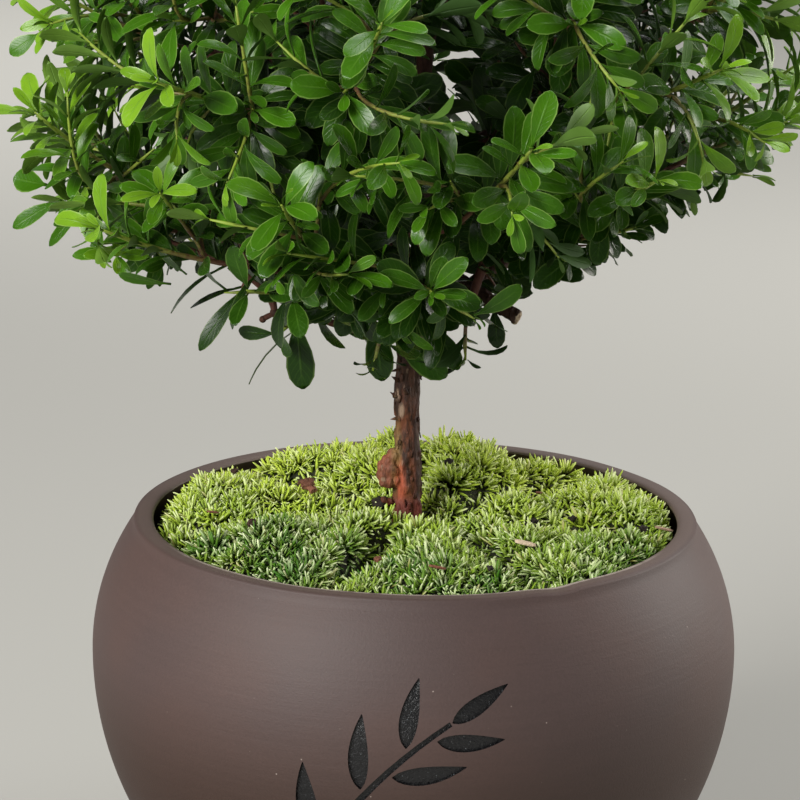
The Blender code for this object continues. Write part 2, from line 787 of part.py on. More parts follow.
def main():
    """Builds the object."""
    clear_scene()
    home = new_collection("Syzygium_bonsai")
    cutters = new_collection("Cutters")
    materials = {name: make_material(name) for name in COLOURS}
    dressed = [(build_pot(home), "clay"), (build_screen(home, cutters), "screen")]
    dressed.append((build_soil(home, cutters), "soil"))
    dressed += [(cushion, "moss") for cushion in build_moss(home)]
    taken = Taken()
    limbs, branches = plan_tree()
    dressed.append((build_trunk(limbs, branches, taken, home), "bark"))
    total = 0
    for index, (_, line, hint) in enumerate(branches):
        branch, leaves = build_branch(index, line, hint, taken, home)
        total += leaves
        if branch:
            dressed.append((branch, "leaf"))
    for thing, name in dressed:
        thing.data.materials.clear()
        thing.data.materials.append(materials[name])
    print("leaves", total)


main()
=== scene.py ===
"""The looks of a Syzygium buxifolium bonsai in its round clay pot.

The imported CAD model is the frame. The pot, the wood, the moss cushions and the leafy
branches are modelled again here, finer and in the same places, and each stands for its CAD
node. The soil and the drain screen stay and get a finish. Units are metres and +Z is up.
"""

import json
import logging
import math
import random
from collections.abc import Iterable, Sequence
from dataclasses import dataclass, field
from enum import Enum

import bmesh
import bpy
import numpy as np
from mathutils import Matrix, Vector, noise
from mathutils.bvhtree import BVHTree

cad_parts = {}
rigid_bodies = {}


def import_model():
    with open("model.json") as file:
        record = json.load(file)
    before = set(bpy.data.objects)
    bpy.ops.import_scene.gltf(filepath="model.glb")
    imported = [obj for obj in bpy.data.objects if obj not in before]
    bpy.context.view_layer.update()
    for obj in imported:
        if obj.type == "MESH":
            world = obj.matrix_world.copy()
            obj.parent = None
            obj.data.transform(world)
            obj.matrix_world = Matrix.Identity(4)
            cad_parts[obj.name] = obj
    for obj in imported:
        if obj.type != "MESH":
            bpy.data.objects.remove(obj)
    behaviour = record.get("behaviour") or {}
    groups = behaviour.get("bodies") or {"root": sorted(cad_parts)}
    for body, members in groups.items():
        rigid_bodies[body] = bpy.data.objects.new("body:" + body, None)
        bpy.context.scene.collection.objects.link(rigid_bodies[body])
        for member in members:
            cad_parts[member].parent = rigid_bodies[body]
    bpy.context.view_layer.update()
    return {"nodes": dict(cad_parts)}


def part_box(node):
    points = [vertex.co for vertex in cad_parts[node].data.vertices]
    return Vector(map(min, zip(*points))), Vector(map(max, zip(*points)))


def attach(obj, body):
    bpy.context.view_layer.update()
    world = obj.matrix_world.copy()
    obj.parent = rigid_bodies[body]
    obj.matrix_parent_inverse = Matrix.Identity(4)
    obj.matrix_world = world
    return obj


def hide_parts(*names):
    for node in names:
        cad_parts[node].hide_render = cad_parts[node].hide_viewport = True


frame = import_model()

log = logging.getLogger("bonsai")

Colour = tuple[float, float, float]
Line = tuple[Vector, Vector, Vector]
Table = Sequence[tuple[float, float]]


# Small tools

def interpolate(table: Sequence[tuple], value: float):
    """Reads a value between the rows of a table.

    Args:
        table: Rows of a position and what is there, in rising order.
        value: The position that is asked for.

    Returns:
        A number or a vector, as the table holds.
    """
    for (low, first), (high, last) in zip(table, table[1:]):
        if value <= high:
            return first + (last - first) * max(0.0, value - low) / (high - low)
    return table[-1][1]


def steps(first: float, last: float, count: int) -> list[float]:
    """Evenly spaced values, with both ends."""
    return [first + (last - first) * i / (count - 1) for i in range(count)]


def along(line: Line, share: float) -> Vector:
    """The point at a share of a curve given by its start, its pull and its end."""
    start, pull, end = line
    return start * (1 - share) ** 2 + pull * 2 * share * (1 - share) + end * share ** 2


def heading(line: Line, share: float) -> Vector:
    """The unit direction of such a curve at a share of it."""
    start, pull, end = line
    return ((pull - start) * (1 - share) + (end - pull) * share).normalized()


def direction(angle: float, turn: float) -> Vector:
    """The unit vector at an angle from upright, in degrees, turned about Z."""
    tilt = math.radians(angle)
    return Vector(
        (math.sin(tilt) * math.cos(turn), math.sin(tilt) * math.sin(turn), math.cos(tilt))
    )


def square_ways(way: Vector) -> tuple[Vector, Vector]:
    """Two unit vectors square to a way and to each other."""
    near = Vector((0, 0, 1)) if abs(way.z) < 0.9 else Vector((1, 0, 0))
    across = way.cross(near).normalized()
    return across, way.cross(across).normalized()


def rings_along(points: Sequence[Vector], radii: Sequence[float], sides: int) -> list:
    """Rings of points round a line, without a twist from one to the next.

    Args:
        points: The middle line.
        radii: The radius at each of its points.
        sides: How many points a ring has.

    Returns:
        The rings, each a list of points.
    """
    rings = []
    across = None
    for i, (point, radius) in enumerate(zip(points, radii)):
        way = (points[min(i + 1, len(points) - 1)] - points[max(i - 1, 0)]).normalized()
        if across is None:
            across, _ = square_ways(way)
        across = (across - way * across.dot(way)).normalized()
        over = way.cross(across)
        turns = [2 * math.pi * k / sides for k in range(sides)]
        rings.append(
            [point + (across * math.cos(a) + over * math.sin(a)) * radius for a in turns]
        )
    return rings


def loft(bm: bmesh.types.BMesh, rings: Sequence[Sequence[Vector]], pointed: bool = False) -> list:
    """Adds a closed solid through rings: the first is a circle, extruded to the others.

    Args:
        bm: The mesh that it goes into.
        rings: The places of each ring's points, with as many points in each.
        pointed: Whether the last ring closes in one point.

    Returns:
        The faces that were made.
    """
    slot = bm.verts.layers.int.get("slot") or bm.verts.layers.int.new("slot")
    made = bmesh.ops.create_circle(bm, segments=len(rings[0]), radius=1.0)["verts"]
    for number, (corner, place) in enumerate(zip(made, rings[0])):
        corner[slot] = number
        corner.co = place
    first = edges = list({edge for corner in made for edge in corner.link_edges})
    faces = []
    for ring in rings[1:]:
        grown = bmesh.ops.extrude_edge_only(bm, edges=edges)["geom"]
        edges = [part for part in grown if isinstance(part, bmesh.types.BMEdge)]
        faces += [part for part in grown if isinstance(part, bmesh.types.BMFace)]
        made = [part for part in grown if isinstance(part, bmesh.types.BMVert)]
        for corner in made:
            corner.co = ring[corner[slot]]
    faces += bmesh.ops.edgeloop_fill(bm, edges=first)["faces"]
    if pointed:
        middle = sum((corner.co for corner in made), Vector()) / len(made)
        bmesh.ops.pointmerge(bm, verts=made, merge_co=middle)
        faces = [face for face in faces if face.is_valid]
    else:
        faces += bmesh.ops.edgeloop_fill(bm, edges=edges)["faces"]
    bmesh.ops.recalc_face_normals(bm, faces=faces)
    return faces


def mesh_from(name: str, bm: bmesh.types.BMesh) -> bpy.types.Mesh:
    """A smooth-shaded mesh made from a bmesh, which is used up."""
    for face in bm.faces:
        face.smooth = True
    mesh = bpy.data.meshes.new(name)
    bm.to_mesh(mesh)
    bm.free()
    return mesh


def add_object(name: str, mesh: bpy.types.Mesh) -> bpy.types.Object:
    """A mesh as an object in the scene."""
    made = bpy.data.objects.new(name, mesh)
    bpy.context.scene.collection.objects.link(made)
    return made


def evaluated(thing: bpy.types.Object) -> bpy.types.Mesh:
    """The mesh of an object with its modifiers applied."""
    bpy.context.view_layer.update()
    graph = bpy.context.evaluated_depsgraph_get()
    return bpy.data.meshes.new_from_object(thing.evaluated_get(graph))


class Stamp:
    """A small closed mesh that is pressed many times into larger ones."""

    def __init__(self, name: str, bm: bmesh.types.BMesh, marks: Sequence[str]) -> None:
        """Keeps the mesh.

        Args:
            name: What it is called.
            bm: The shape, which is used up.
            marks: The names of the numbers that each copy carries.
        """
        self.mesh = mesh_from(name, bm)
        self.rest = np.array([corner.co for corner in self.mesh.vertices])
        for mark in marks:
            self.mesh.attributes.new(mark, "FLOAT", "POINT")

    def press(self, bm: bmesh.types.BMesh, places: np.ndarray, **marks: float) -> None:
        """Adds a copy with its corners at given places, and with a number for each mark."""
        self.mesh.vertices.foreach_set("co", places.astype(np.float32).ravel())
        for mark, value in marks.items():
            filled = np.full(len(places), value, np.float32)
            self.mesh.attributes[mark].data.foreach_set("value", filled)
        bm.from_mesh(self.mesh)


# Shader tools

class Value:
    """A number in a shader. Sums and products of these add Math nodes."""

    def __init__(self, paint: "Paint", socket: bpy.types.NodeSocket) -> None:
        """Wraps a node's output."""
        self.paint = paint
        self.socket = socket

    def _math(self, operation: str, *others: "Value | float") -> "Value":
        """Adds a Math node for this value and others."""
        inputs = dict(enumerate([self, *others]))
        return self.paint.add("ShaderNodeMath", {"operation": operation}, inputs)

    def __add__(self, other: "Value | float") -> "Value":
        """This plus another."""
        return self._math("ADD", other)

    def __sub__(self, other: "Value | float") -> "Value":
        """This less another."""
        return self._math("SUBTRACT", other)

    def __rsub__(self, other: float) -> "Value":
        """A number less this."""
        return self * -1.0 + other

    def __mul__(self, other: "Value | float") -> "Value":
        """This times another."""
        return self._math("MULTIPLY", other)

    def __truediv__(self, other: "Value | float") -> "Value":
        """This over another."""
        return self._math("DIVIDE", other)

    def __pow__(self, other: "Value | float") -> "Value":
        """This to a power."""
        return self._math("POWER", other)

    __radd__ = __add__
    __rmul__ = __mul__

    def __abs__(self) -> "Value":
        """This without its sign."""
        return self._math("ABSOLUTE")

    def rise(self, low: float, high: float) -> "Value":
        """0 below low and 1 above high, with a smooth rise between. high may be lower."""
        spread = {"From Min": low, "From Max": high, "Value": self}
        settings = {"interpolation_type": "SMOOTHSTEP"}
        return self.paint.add("ShaderNodeMapRange", settings, spread)


class Paint:
    """The nodes of one material."""

    def __init__(self, name: str, roughness: float = 0.5) -> None:
        """Starts a material.

        Args:
            name: The material's name.
            roughness: How rough it is where nothing changes that.
        """
        self.material = bpy.data.materials.new(name)
        self.material.use_nodes = True
        self.nodes = self.material.node_tree.nodes
        self.links = self.material.node_tree.links
        self.shader = self.nodes["Principled BSDF"]
        self.shader.inputs["Roughness"].default_value = roughness

    def add(self, kind: str, settings: dict, inputs: dict, output: int | str = 0) -> Value:
        """Adds a node.

        Args:
            kind: The node's type.
            settings: Its properties, which are set first.
            inputs: A value or a link for each input, by name or number.
            output: The output that is wanted.

        Returns:
            That output.
        """
        node = self.nodes.new(kind)
        for name, value in settings.items():
            setattr(node, name, value)
        for key, value in inputs.items():
            self.feed(node.inputs[key], value)
        return Value(self, node.outputs[output])

    def feed(self, socket: bpy.types.NodeSocket, value: "Value | float | Sequence") -> None:
        """Links a value to an input, or sets it there."""
        if isinstance(value, Value):
            self.links.new(value.socket, socket)
        elif socket.type == "RGBA":
            socket.default_value = (*value, 1.0)
        else:
            socket.default_value = value

    def place(self, scale: Sequence[float] = (1, 1, 1)) -> Value:
        """Object coordinates in metres, times a scale each way."""
        spot = self.add("ShaderNodeTexCoord", {}, {}, "Object")
        return self.add("ShaderNodeMapping", {}, {"Vector": spot, "Scale": scale})

    def part(self, vector: Value, axis: str) -> Value:
        """One part, X, Y or Z, of a vector."""
        return self.add("ShaderNodeSeparateXYZ", {}, {0: vector}, axis)

    def mark(self, name: str) -> Value:
        """A number that the mesh carries."""
        return self.add("ShaderNodeAttribute", {"attribute_name": name}, {}, "Fac")

    def noise(self, place: Value, size: float, detail: float = 2.0, rough: float = 0.5) -> Value:
        """Soft noise from 0 to 1, whose patches are about size metres wide."""
        inputs = {"Vector": place, "Scale": 1.0 / size, "Detail": detail, "Roughness": rough}
        return self.add("ShaderNodeTexNoise", {}, inputs, "Fac")

    def cells(self, place: Value, size: float, feature: str = "F1") -> Value:
        """The distance in cells that are about size metres wide."""
        inputs = {"Vector": place, "Scale": 1.0 / size}
        return self.add("ShaderNodeTexVoronoi", {"feature": feature}, inputs, "Distance")

    def mix(self, share: Value | float, first: Value | Colour, second: Value | Colour) -> Value:
        """A colour between two others."""
        settings = {"data_type": "RGBA"}
        return self.add("ShaderNodeMix", settings, {0: share, 6: first, 7: second}, 2)

    def shade(self, amount: Value | float, colour: Value | Colour) -> Value:
        """A colour made darker or lighter by an amount, where 1 leaves it as it is."""
        settings = {"operation": "SCALE"}
        return self.add("ShaderNodeVectorMath", settings, {0: colour, "Scale": amount})

    def near(self, centre: Sequence[float], reach: Sequence[float]) -> Value:
        """1 at a point and 0 beyond its reach along each axis, with a soft edge."""
        spot = self.add("ShaderNodeTexCoord", {}, {}, "Object")
        from_centre = self.add(
            "ShaderNodeVectorMath", {"operation": "SUBTRACT"}, {0: spot, 1: tuple(centre)}
        )
        scaled = self.add(
            "ShaderNodeVectorMath", {"operation": "DIVIDE"}, {0: from_centre, 1: tuple(reach)}
        )
        away = self.add("ShaderNodeVectorMath", {"operation": "LENGTH"}, {0: scaled}, "Value")
        return away.rise(1.0, 0.35)

    def bump(self, height: Value, depth: float, strength: float = 1.0) -> Value:
        """A normal bent by a height from 0 to 1 that stands for a depth in metres."""
        inputs = {"Height": height, "Distance": depth, "Strength": strength}
        return self.add("ShaderNodeBump", {}, inputs, "Normal")

    def finish(self, **inputs: "Value | float") -> bpy.types.Material:
        """Feeds the shader's inputs, by name with _ for a space, and gives the material."""
        for name, value in inputs.items():
            self.feed(self.shader.inputs[name.replace("_", " ")], value)
        return self.material


# Finishes

@dataclass(frozen=True)
class ClayFinish:
    """Bare purple-brown clay with faint turning lines and tiny pale grains, painted shade towards its foot
    and painted light on the top of its lip.
    """

    name: str = "clay"
    body: Colour = (0.081, 0.050, 0.045)
    warm: Colour = (0.091, 0.051, 0.043)
    cool: Colour = (0.070, 0.046, 0.044)
    # Painted shade: the clay is made darker towards its foot, where less light bounces up onto it.
    low: Colour = (0.047, 0.024, 0.017)
    painted_shade_from: float = 0.092
    painted_shade_to: float = 0.052
    worn: Colour = (0.430, 0.365, 0.320)
    worn_r: float = 0.0741
    worn_half: float = 0.0010
    worn_z: float = 0.1150
    # Painted light: a lighter colour on the top of the lip lifts the shade that falls on it there, but
    # stays off its outer rounding.
    lip: Colour = (0.150, 0.108, 0.092)
    lip_z: float = 0.1149
    lit_lip_r: float = 0.0784
    grain: Colour = (0.40, 0.33, 0.29)
    line_size: float = 0.0016
    grain_size: float = 0.0030

    def make(self) -> bpy.types.Material:
        """The material."""
        paint = Paint(self.name)
        place = paint.place()
        tone = paint.noise(place, 0.045, 3.0)
        colour = paint.mix(tone.rise(0.35, 0.7), self.cool, self.warm)
        colour = paint.mix(0.5, colour, self.body)
        # Painted shade: darker towards the foot.
        low = paint.part(place, "Z").rise(self.painted_shade_from, self.painted_shade_to)
        colour = paint.mix(low, colour, self.low)
        flat = paint.add("ShaderNodeVectorMath", {"operation": "LENGTH"},
                         {0: paint.place((1, 1, 0))}, "Value")
        worn = abs(flat - self.worn_r).rise(self.worn_half, self.worn_half * 0.4)
        worn = worn * paint.part(place, "Z").rise(self.worn_z, self.worn_z + 0.0004)
        worn = worn * paint.part(place, "Y").rise(-0.030, -0.050)
        worn = worn * paint.noise(place, 0.006, 2.0).rise(0.25, 0.50)
        # Painted light on the top of the lip, not on its outer rounding.
        lip = paint.part(place, "Z").rise(self.lip_z, self.lip_z + 0.0005)
        lip = lip * flat.rise(self.lit_lip_r, self.lit_lip_r - 0.0018)
        colour = paint.mix(lip * 0.70, colour, self.lip)
        colour = paint.mix(worn * 0.9, colour, self.worn)
        lines = paint.noise(paint.place((0.05, 0.05, 1.0)), self.line_size, 3.0, 0.6)
        fine = paint.noise(place, 0.0007, 3.0, 0.75)
        colour = paint.shade(lines * 0.16 + fine * 0.48 + 0.68, colour)
        grains = paint.cells(place, self.grain_size).rise(0.09, 0.05)
        grains = grains * paint.noise(place, 0.004).rise(0.60, 0.66)
        colour = paint.mix(grains * 0.75, colour, self.grain)
        height = lines * 0.5 + fine * 0.5
        rough = tone * 0.12 + fine * 0.10 + 0.50
        return paint.finish(
            Base_Color=colour, Roughness=rough, Normal=paint.bump(height, 0.00022, 0.7)
        )


@dataclass(frozen=True)
class InlayFinish:
    """Glossy black paint in the carved strokes, with fine painted glints for the sparkle of its gloss."""

    name: str = "black_inlay"
    body: Colour = (0.006, 0.006, 0.007)
    painted_glint: Colour = (0.20, 0.22, 0.24)

    def make(self) -> bpy.types.Material:
        """The material."""
        paint = Paint(self.name)
        place = paint.place()
        pits = paint.noise(place, 0.0011, 3.0, 0.7)
        # Painted glints: pale flecks in the black stand for the sparkle of its gloss.
        painted_glints = paint.cells(place, 0.0008).rise(0.16, 0.08)
        painted_glints = painted_glints * paint.noise(place, 0.003).rise(0.50, 0.62)
        return paint.finish(
            Base_Color=paint.mix(painted_glints, self.body, self.painted_glint),
            Roughness=pits * 0.30 + 0.10,
            Normal=paint.bump(pits, 0.0004),
        )


@dataclass(frozen=True)
class ScreenFinish:
    """Black moulded plastic of the screen over the drain hole."""

    name: str = "screen_plastic"
    body: Colour = (0.030, 0.030, 0.031)

    def make(self) -> bpy.types.Material:
        """The material."""
        paint = Paint(self.name)
        grain = paint.noise(paint.place(), 0.0005, 2.0)
        return paint.finish(
            Base_Color=paint.shade(grain * 0.3 + 0.85, self.body),
            Roughness=grain * 0.2 + 0.4,
            Normal=paint.bump(grain, 0.00005),
        )


@dataclass(frozen=True)
class SoilFinish:
    """Dark, crumbly, damp potting soil."""

    name: str = "potting_soil"
    dark: Colour = (0.010, 0.007, 0.005)
    light: Colour = (0.055, 0.036, 0.024)

    def make(self) -> bpy.types.Material:
        """The material."""
        paint = Paint(self.name)
        place = paint.place()
        crumbs = paint.cells(place, 0.0022)
        fine = paint.noise(place, 0.0008, 3.0, 0.7)
        colour = paint.mix((crumbs + fine * 0.5).rise(0.25, 0.95), self.light, self.dark)
        return paint.finish(
            Base_Color=colour,
            Roughness=fine * 0.3 + 0.65,
            Normal=paint.bump(1 - crumbs + fine * 0.4, 0.0012),
        )


@dataclass(frozen=True)
class MossFinish:
    """Moss strands: dark at the root, partly their own base and partly painted shade, green along them and
    pale at the tip, with painted light at the back.
    """

    name: str = "moss_strand"
    # Near black: the strands' own dark base together with painted shade between them.
    root: Colour = (0.010, 0.014, 0.002)
    deep: Colour = (0.052, 0.175, 0.008)
    fresh: Colour = (0.330, 0.515, 0.022)
    # Painted light: the lighter colours of the strands at the back.
    lit: Colour = (0.680, 0.810, 0.090)
    tip: Colour = (0.830, 0.920, 0.560)
    lit_tip: Colour = (0.860, 0.930, 0.450)
    straw: Colour = (0.400, 0.330, 0.090)
    patch_size: float = 0.018

    def make(self) -> bpy.types.Material:
        """The material."""
        paint = Paint(self.name)
        tone, high, luck = paint.mark("tone"), paint.mark("high"), paint.mark("luck")
        place = paint.place()
        patch = paint.noise(place, self.patch_size, 2.0)
        # Painted light: the strands towards the back are made fresher.
        back = paint.part(place, "Y").rise(-0.045, 0.030)
        fresh = (patch * 0.6 + tone * 0.35 + luck * 0.25 + back * 0.55).rise(0.40, 1.20)
        colour = paint.mix(fresh, self.deep, self.fresh)
        # Painted light: the back, and some patches, get a lighter colour and lighter tips.
        far = paint.part(place, "Y").rise(-0.050, 0.050) * 0.7 + patch.rise(0.35, 0.65) * 0.3
        colour = paint.mix(far * 0.78, colour, self.lit)
        tip = paint.mix(far, self.tip, self.lit_tip)
        colour = paint.mix(high.rise(0.45, 1.0) * luck.rise(0.35, 0.95) * 0.9, colour, tip)
        # Painted shade: the lower part of each strand grows near black, partly its own dark base and
        # partly the shade between the strands.
        colour = paint.mix(high.rise(0.78, 0.26), colour, self.root)
        colour = paint.mix(luck.rise(0.96, 0.98) * 0.6, colour, self.straw)
        fine = paint.noise(place, 0.0005, 2.0)
        return paint.finish(
            Base_Color=paint.shade(fine * 0.4 + 0.8, colour),
            Roughness=fine * 0.2 + 0.42,
        )


@dataclass(frozen=True)
class MossBedFinish:
    """The dark matted stuff that the strands stand in."""

    name: str = "moss_bed"
    dark: Colour = (0.008, 0.009, 0.003)
    light: Colour = (0.035, 0.040, 0.010)

    def make(self) -> bpy.types.Material:
        """The material."""
        paint = Paint(self.name)
        tangle = paint.noise(paint.place(), 0.0012, 3.0, 0.7)
        return paint.finish(
            Base_Color=paint.mix(tangle.rise(0.35, 0.7), self.dark, self.light),
            Roughness=tangle * 0.2 + 0.75,
            Normal=paint.bump(tangle, 0.0008),
        )


@dataclass(frozen=True)
class BarkFinish:
    """Flaking bark: dark brown scales over red-brown, with orange places, a green-tan strip of painted
    highlight on its left side and painted shade on its right side.
    """

    name: str = "bark"
    scale: Colour = (0.046, 0.022, 0.014)
    under: Colour = (0.185, 0.062, 0.030)
    flake: Colour = (0.430, 0.300, 0.210)
    orange: Colour = (0.450, 0.105, 0.052)
    # Painted highlight: the colour of the strip on the trunk's lit left side.
    tan: Colour = (0.350, 0.215, 0.080)
    burl: Colour = (0.310, 0.105, 0.060)
    # Painted shade for the trunk's right side.
    painted_shade: Colour = (0.044, 0.018, 0.014)
    wine: Colour = (0.140, 0.030, 0.022)
    twig: Colour = (0.130, 0.050, 0.034)
    orange_spot: Colour = (-0.0043, -0.0058, 0.1256)
    orange_reach: Colour = (0.0024, 0.0046, 0.0100)
    # Painted highlight: where the green-tan strip on the trunk's lit left side lies.
    lit_strip_spot: Colour = (-0.0056, -0.0040, 0.1330)
    lit_strip_reach: Colour = (0.0022, 0.0052, 0.0150)
    burl_spot: Colour = (-0.0092, -0.0040, 0.1300)
    burl_reach: Colour = (0.0048, 0.0070, 0.0090)
    pale_spots: tuple = (
        ((-0.0043, -0.0045, 0.1465), (0.0012, 0.0050, 0.0030)),
        ((-0.0055, -0.0035, 0.1508), (0.0010, 0.0050, 0.0024)),
        ((-0.0090, -0.0060, 0.1272), (0.0010, 0.0040, 0.0010)),
    )
    dark_from: float = 0.1440
    dark_to: float = 0.1540
    sheen: float = 0.28
    wine_from: float = 0.1232
    wine_to: float = 0.1192

    def make(self) -> bpy.types.Material:
        """The material."""
        paint = Paint(self.name)
        place = paint.place()
        long_place = paint.place((1.0, 1.0, 0.35))
        scales = paint.noise(long_place, 0.0022, 4.0, 0.65)
        fibres = paint.noise(paint.place((1.0, 1.0, 0.18)), 0.0007, 3.0, 0.6)
        colour = paint.mix(scales.rise(0.40, 0.62), self.under, self.scale)
        # Painted shade: the right side of the trunk is made darker.
        right = paint.part(place, "X").rise(-0.0018, 0.0006)
        colour = paint.mix(right * 0.80, colour, self.painted_shade)
        broken = scales * 0.9 + fibres * 0.3
        orange = paint.near(self.orange_spot, self.orange_reach) * broken.rise(0.86, 0.56)
        # Painted highlight: a broken green-tan strip down the trunk's left side.
        tan = paint.near(self.lit_strip_spot, self.lit_strip_reach) * broken.rise(0.84, 0.56)
        burl = paint.near(self.burl_spot, self.burl_reach) * broken.rise(0.90, 0.52)
        colour = paint.mix(tan * 0.85, colour, self.tan)
        colour = paint.mix(burl * 0.85, colour, self.burl)
        colour = paint.mix(orange * 0.95, colour, self.orange)
        foot = paint.part(place, "Z").rise(self.wine_from, self.wine_to)
        colour = paint.mix(foot * 0.85, colour, self.wine)
        up = paint.part(place, "Z").rise(self.dark_from, self.dark_to)
        colour = paint.mix(up * 0.70, colour, self.scale)
        flakes = paint.cells(long_place, 0.0021).rise(0.24, 0.14) * fibres.rise(0.50, 0.60)
        colour = paint.mix(flakes * 0.32, colour, self.flake)
        for spot, reach in self.pale_spots:
            pale = paint.near(spot, reach) * broken.rise(0.80, 0.62)
            colour = paint.mix(pale * 0.9, colour, self.flake)
        colour = paint.mix(paint.mark("age").rise(0.25, 0.75), colour, self.twig)
        colour = paint.shade(fibres * 1.3 + 0.30, colour)
        height = scales * 0.6 + fibres * 0.4
        return paint.finish(
            Base_Color=colour,
            Roughness=scales * 0.30 + 0.42,
            Specular_IOR_Level=self.sheen,
            Normal=paint.bump(height, 0.0010),
        )


@dataclass(frozen=True)
class CutWoodFinish:
    """Pale dry wood where a branch was cut, with its rings."""

    name: str = "cut_wood"
    pale: Colour = (0.420, 0.330, 0.220)
    ring: Colour = (0.200, 0.140, 0.090)

    def make(self) -> bpy.types.Material:
        """The material."""
        paint = Paint(self.name)
        rings = paint.noise(paint.place(), 0.0006, 3.0, 0.7)
        return paint.finish(
            Base_Color=paint.mix(rings.rise(0.42, 0.62), self.pale, self.ring),
            Roughness=rings * 0.2 + 0.7,
            Normal=paint.bump(rings, 0.0002),
        )


@dataclass(frozen=True)
class ShootFinish:
    """A young stem: red-brown where it is old and yellow-green where it is new."""

    name: str = "shoot"
    old: Colour = (0.120, 0.046, 0.028)
    new: Colour = (0.250, 0.350, 0.036)

    def make(self) -> bpy.types.Material:
        """The material."""
        paint = Paint(self.name)
        skin = paint.noise(paint.place(), 0.0010, 2.0)
        age = (paint.mark("age") + skin * 0.3).rise(0.50, 0.98)
        colour = paint.shade(skin * 0.5 + 0.75, paint.mix(age, self.old, self.new))
        return paint.finish(
            Base_Color=colour,
            Roughness=skin * 0.2 + 0.4,
            Normal=paint.bump(skin, 0.0001),
        )


@dataclass(frozen=True)
class LeafFinish:
    """The glossy upper face of a leaf, with its midrib, its side veins and its margin."""

    name: str = "leaf_upper"
    old: Colour = (0.011, 0.037, 0.003)
    grown: Colour = (0.046, 0.148, 0.004)
    young: Colour = (0.168, 0.335, 0.014)
    blush: Colour = (0.400, 0.300, 0.110)
    vein: Colour = (0.120, 0.260, 0.030)
    edge: Colour = (0.300, 0.450, 0.110)
    gloss: float = 0.19
    sheen: float = 0.22
    vein_count: float = 9.0

    def make(self) -> bpy.types.Material:
        """The material."""
        paint = Paint(self.name)
        blade = paint.add("ShaderNodeUVMap", {"uv_map": "blade"}, {})
        off_middle = abs(paint.part(blade, "X") * 2.0 - 1.0)
        length = paint.part(blade, "Y")
        age, luck = paint.mark("age"), paint.mark("luck")
        spots = paint.noise(paint.place(), 0.0035, 3.0, 0.6)
        ripe = age + luck * 0.16 - 0.08 + spots * 0.14 - 0.07
        colour = paint.mix(ripe.rise(0.05, 0.60), self.old, self.grown)
        colour = paint.mix(ripe.rise(0.58, 0.98), colour, self.young)
        colour = paint.mix(age.rise(1.02, 1.06) * luck.rise(0.78, 0.84), colour, self.blush)
        rib = off_middle.rise(0.12, 0.03) * length.rise(1.0, 0.55)
        wave = paint.add(
            "ShaderNodeMath", {"operation": "SINE"},
            {0: (length * self.vein_count - off_middle * 2.2) * (2 * math.pi)},
        )
        veins = wave.rise(0.72, 1.0) * off_middle.rise(0.95, 0.6)
        margin = off_middle.rise(0.84, 0.95)
        colour = paint.mix(veins * 0.07 + rib * (age * 0.35 + 0.14), colour, self.vein)
        colour = paint.mix(margin * (age * 0.45 + 0.16), colour, self.edge)
        colour = paint.shade(spots * 0.30 + 0.85, colour)
        height = veins * -0.25 - rib * 1.0 + spots * 0.5
        return paint.finish(
            Specular_IOR_Level=self.sheen,
            Base_Color=colour,
            Roughness=spots * 0.16 + luck * 0.12 + self.gloss - 0.10,
            Normal=paint.bump(height, 0.00010, 0.8),
        )


@dataclass(frozen=True)
class LeafUndersideFinish:
    """The paler, duller lower face of a leaf."""

    name: str = "leaf_under"
    old: Colour = (0.034, 0.086, 0.014)
    young: Colour = (0.150, 0.290, 0.026)

    def make(self) -> bpy.types.Material:
        """The material."""
        paint = Paint(self.name)
        blade = paint.add("ShaderNodeUVMap", {"uv_map": "blade"}, {})
        rib = abs(paint.part(blade, "X") * 2.0 - 1.0).rise(0.10, 0.02)
        spots = paint.noise(paint.place(), 0.0030, 3.0)
        colour = paint.mix(paint.mark("age").rise(0.2, 0.95), self.old, self.young)
        colour = paint.shade(spots * 0.3 + rib * 0.35 + 0.8, colour)
        return paint.finish(
            Base_Color=colour,
            Roughness=spots * 0.15 + 0.46,
            Normal=paint.bump(rib + spots * 0.3, 0.00012),
        )


@dataclass(frozen=True)
class LitterFinish:
    """Bits of dead leaf and bark that lie on the moss."""

    name: str = "litter"
    dark: Colour = (0.016, 0.009, 0.006)
    brown: Colour = (0.230, 0.085, 0.045)
    tan: Colour = (0.720, 0.560, 0.400)

    def make(self) -> bpy.types.Material:
        """The material."""
        paint = Paint(self.name)
        tone = paint.mark("tone")
        grain = paint.noise(paint.place(), 0.0010, 3.0, 0.7)
        colour = paint.mix(tone.rise(0.0, 0.40), self.dark, self.brown)
        colour = paint.mix(tone.rise(0.40, 1.0), colour, self.tan)
        return paint.finish(
            Base_Color=paint.shade(grain * 0.8 + 0.6, colour),
            Roughness=grain * 0.2 + 0.7,
            Normal=paint.bump(grain, 0.0004),
        )


@dataclass(frozen=True)
class FloorFinish:
    """The pale matte surface that the pot stands on, with painted light that grows brighter away from the
    camera, most of all on the left.
    """

    name: str = "floor"
    body: Colour = (0.428, 0.422, 0.393)
    painted_light_base: float = 0.88

    def make(self) -> bpy.types.Material:
        """The material."""
        paint = Paint(self.name)
        place = paint.place()
        cloud = paint.noise(place, 0.9, 2.0)
        ahead, across = paint.part(place, "Y"), paint.part(place, "X")
        # Painted light: the floor's colour is made brighter towards the back, much more on the left than
        # on the right.
        left = across.rise(0.20, -0.20)
        painted_light = left * ahead.rise(0.45, 1.75) ** 1.25 * 1.17
        painted_light = painted_light + (1.0 - left) * ahead.rise(0.45, 0.95) * 0.18 + self.painted_light_base
        return paint.finish(
            Base_Color=paint.shade((cloud * 0.06 + 0.97) * painted_light, self.body),
            Roughness=cloud * 0.1 + 0.8,
        )


# The pot

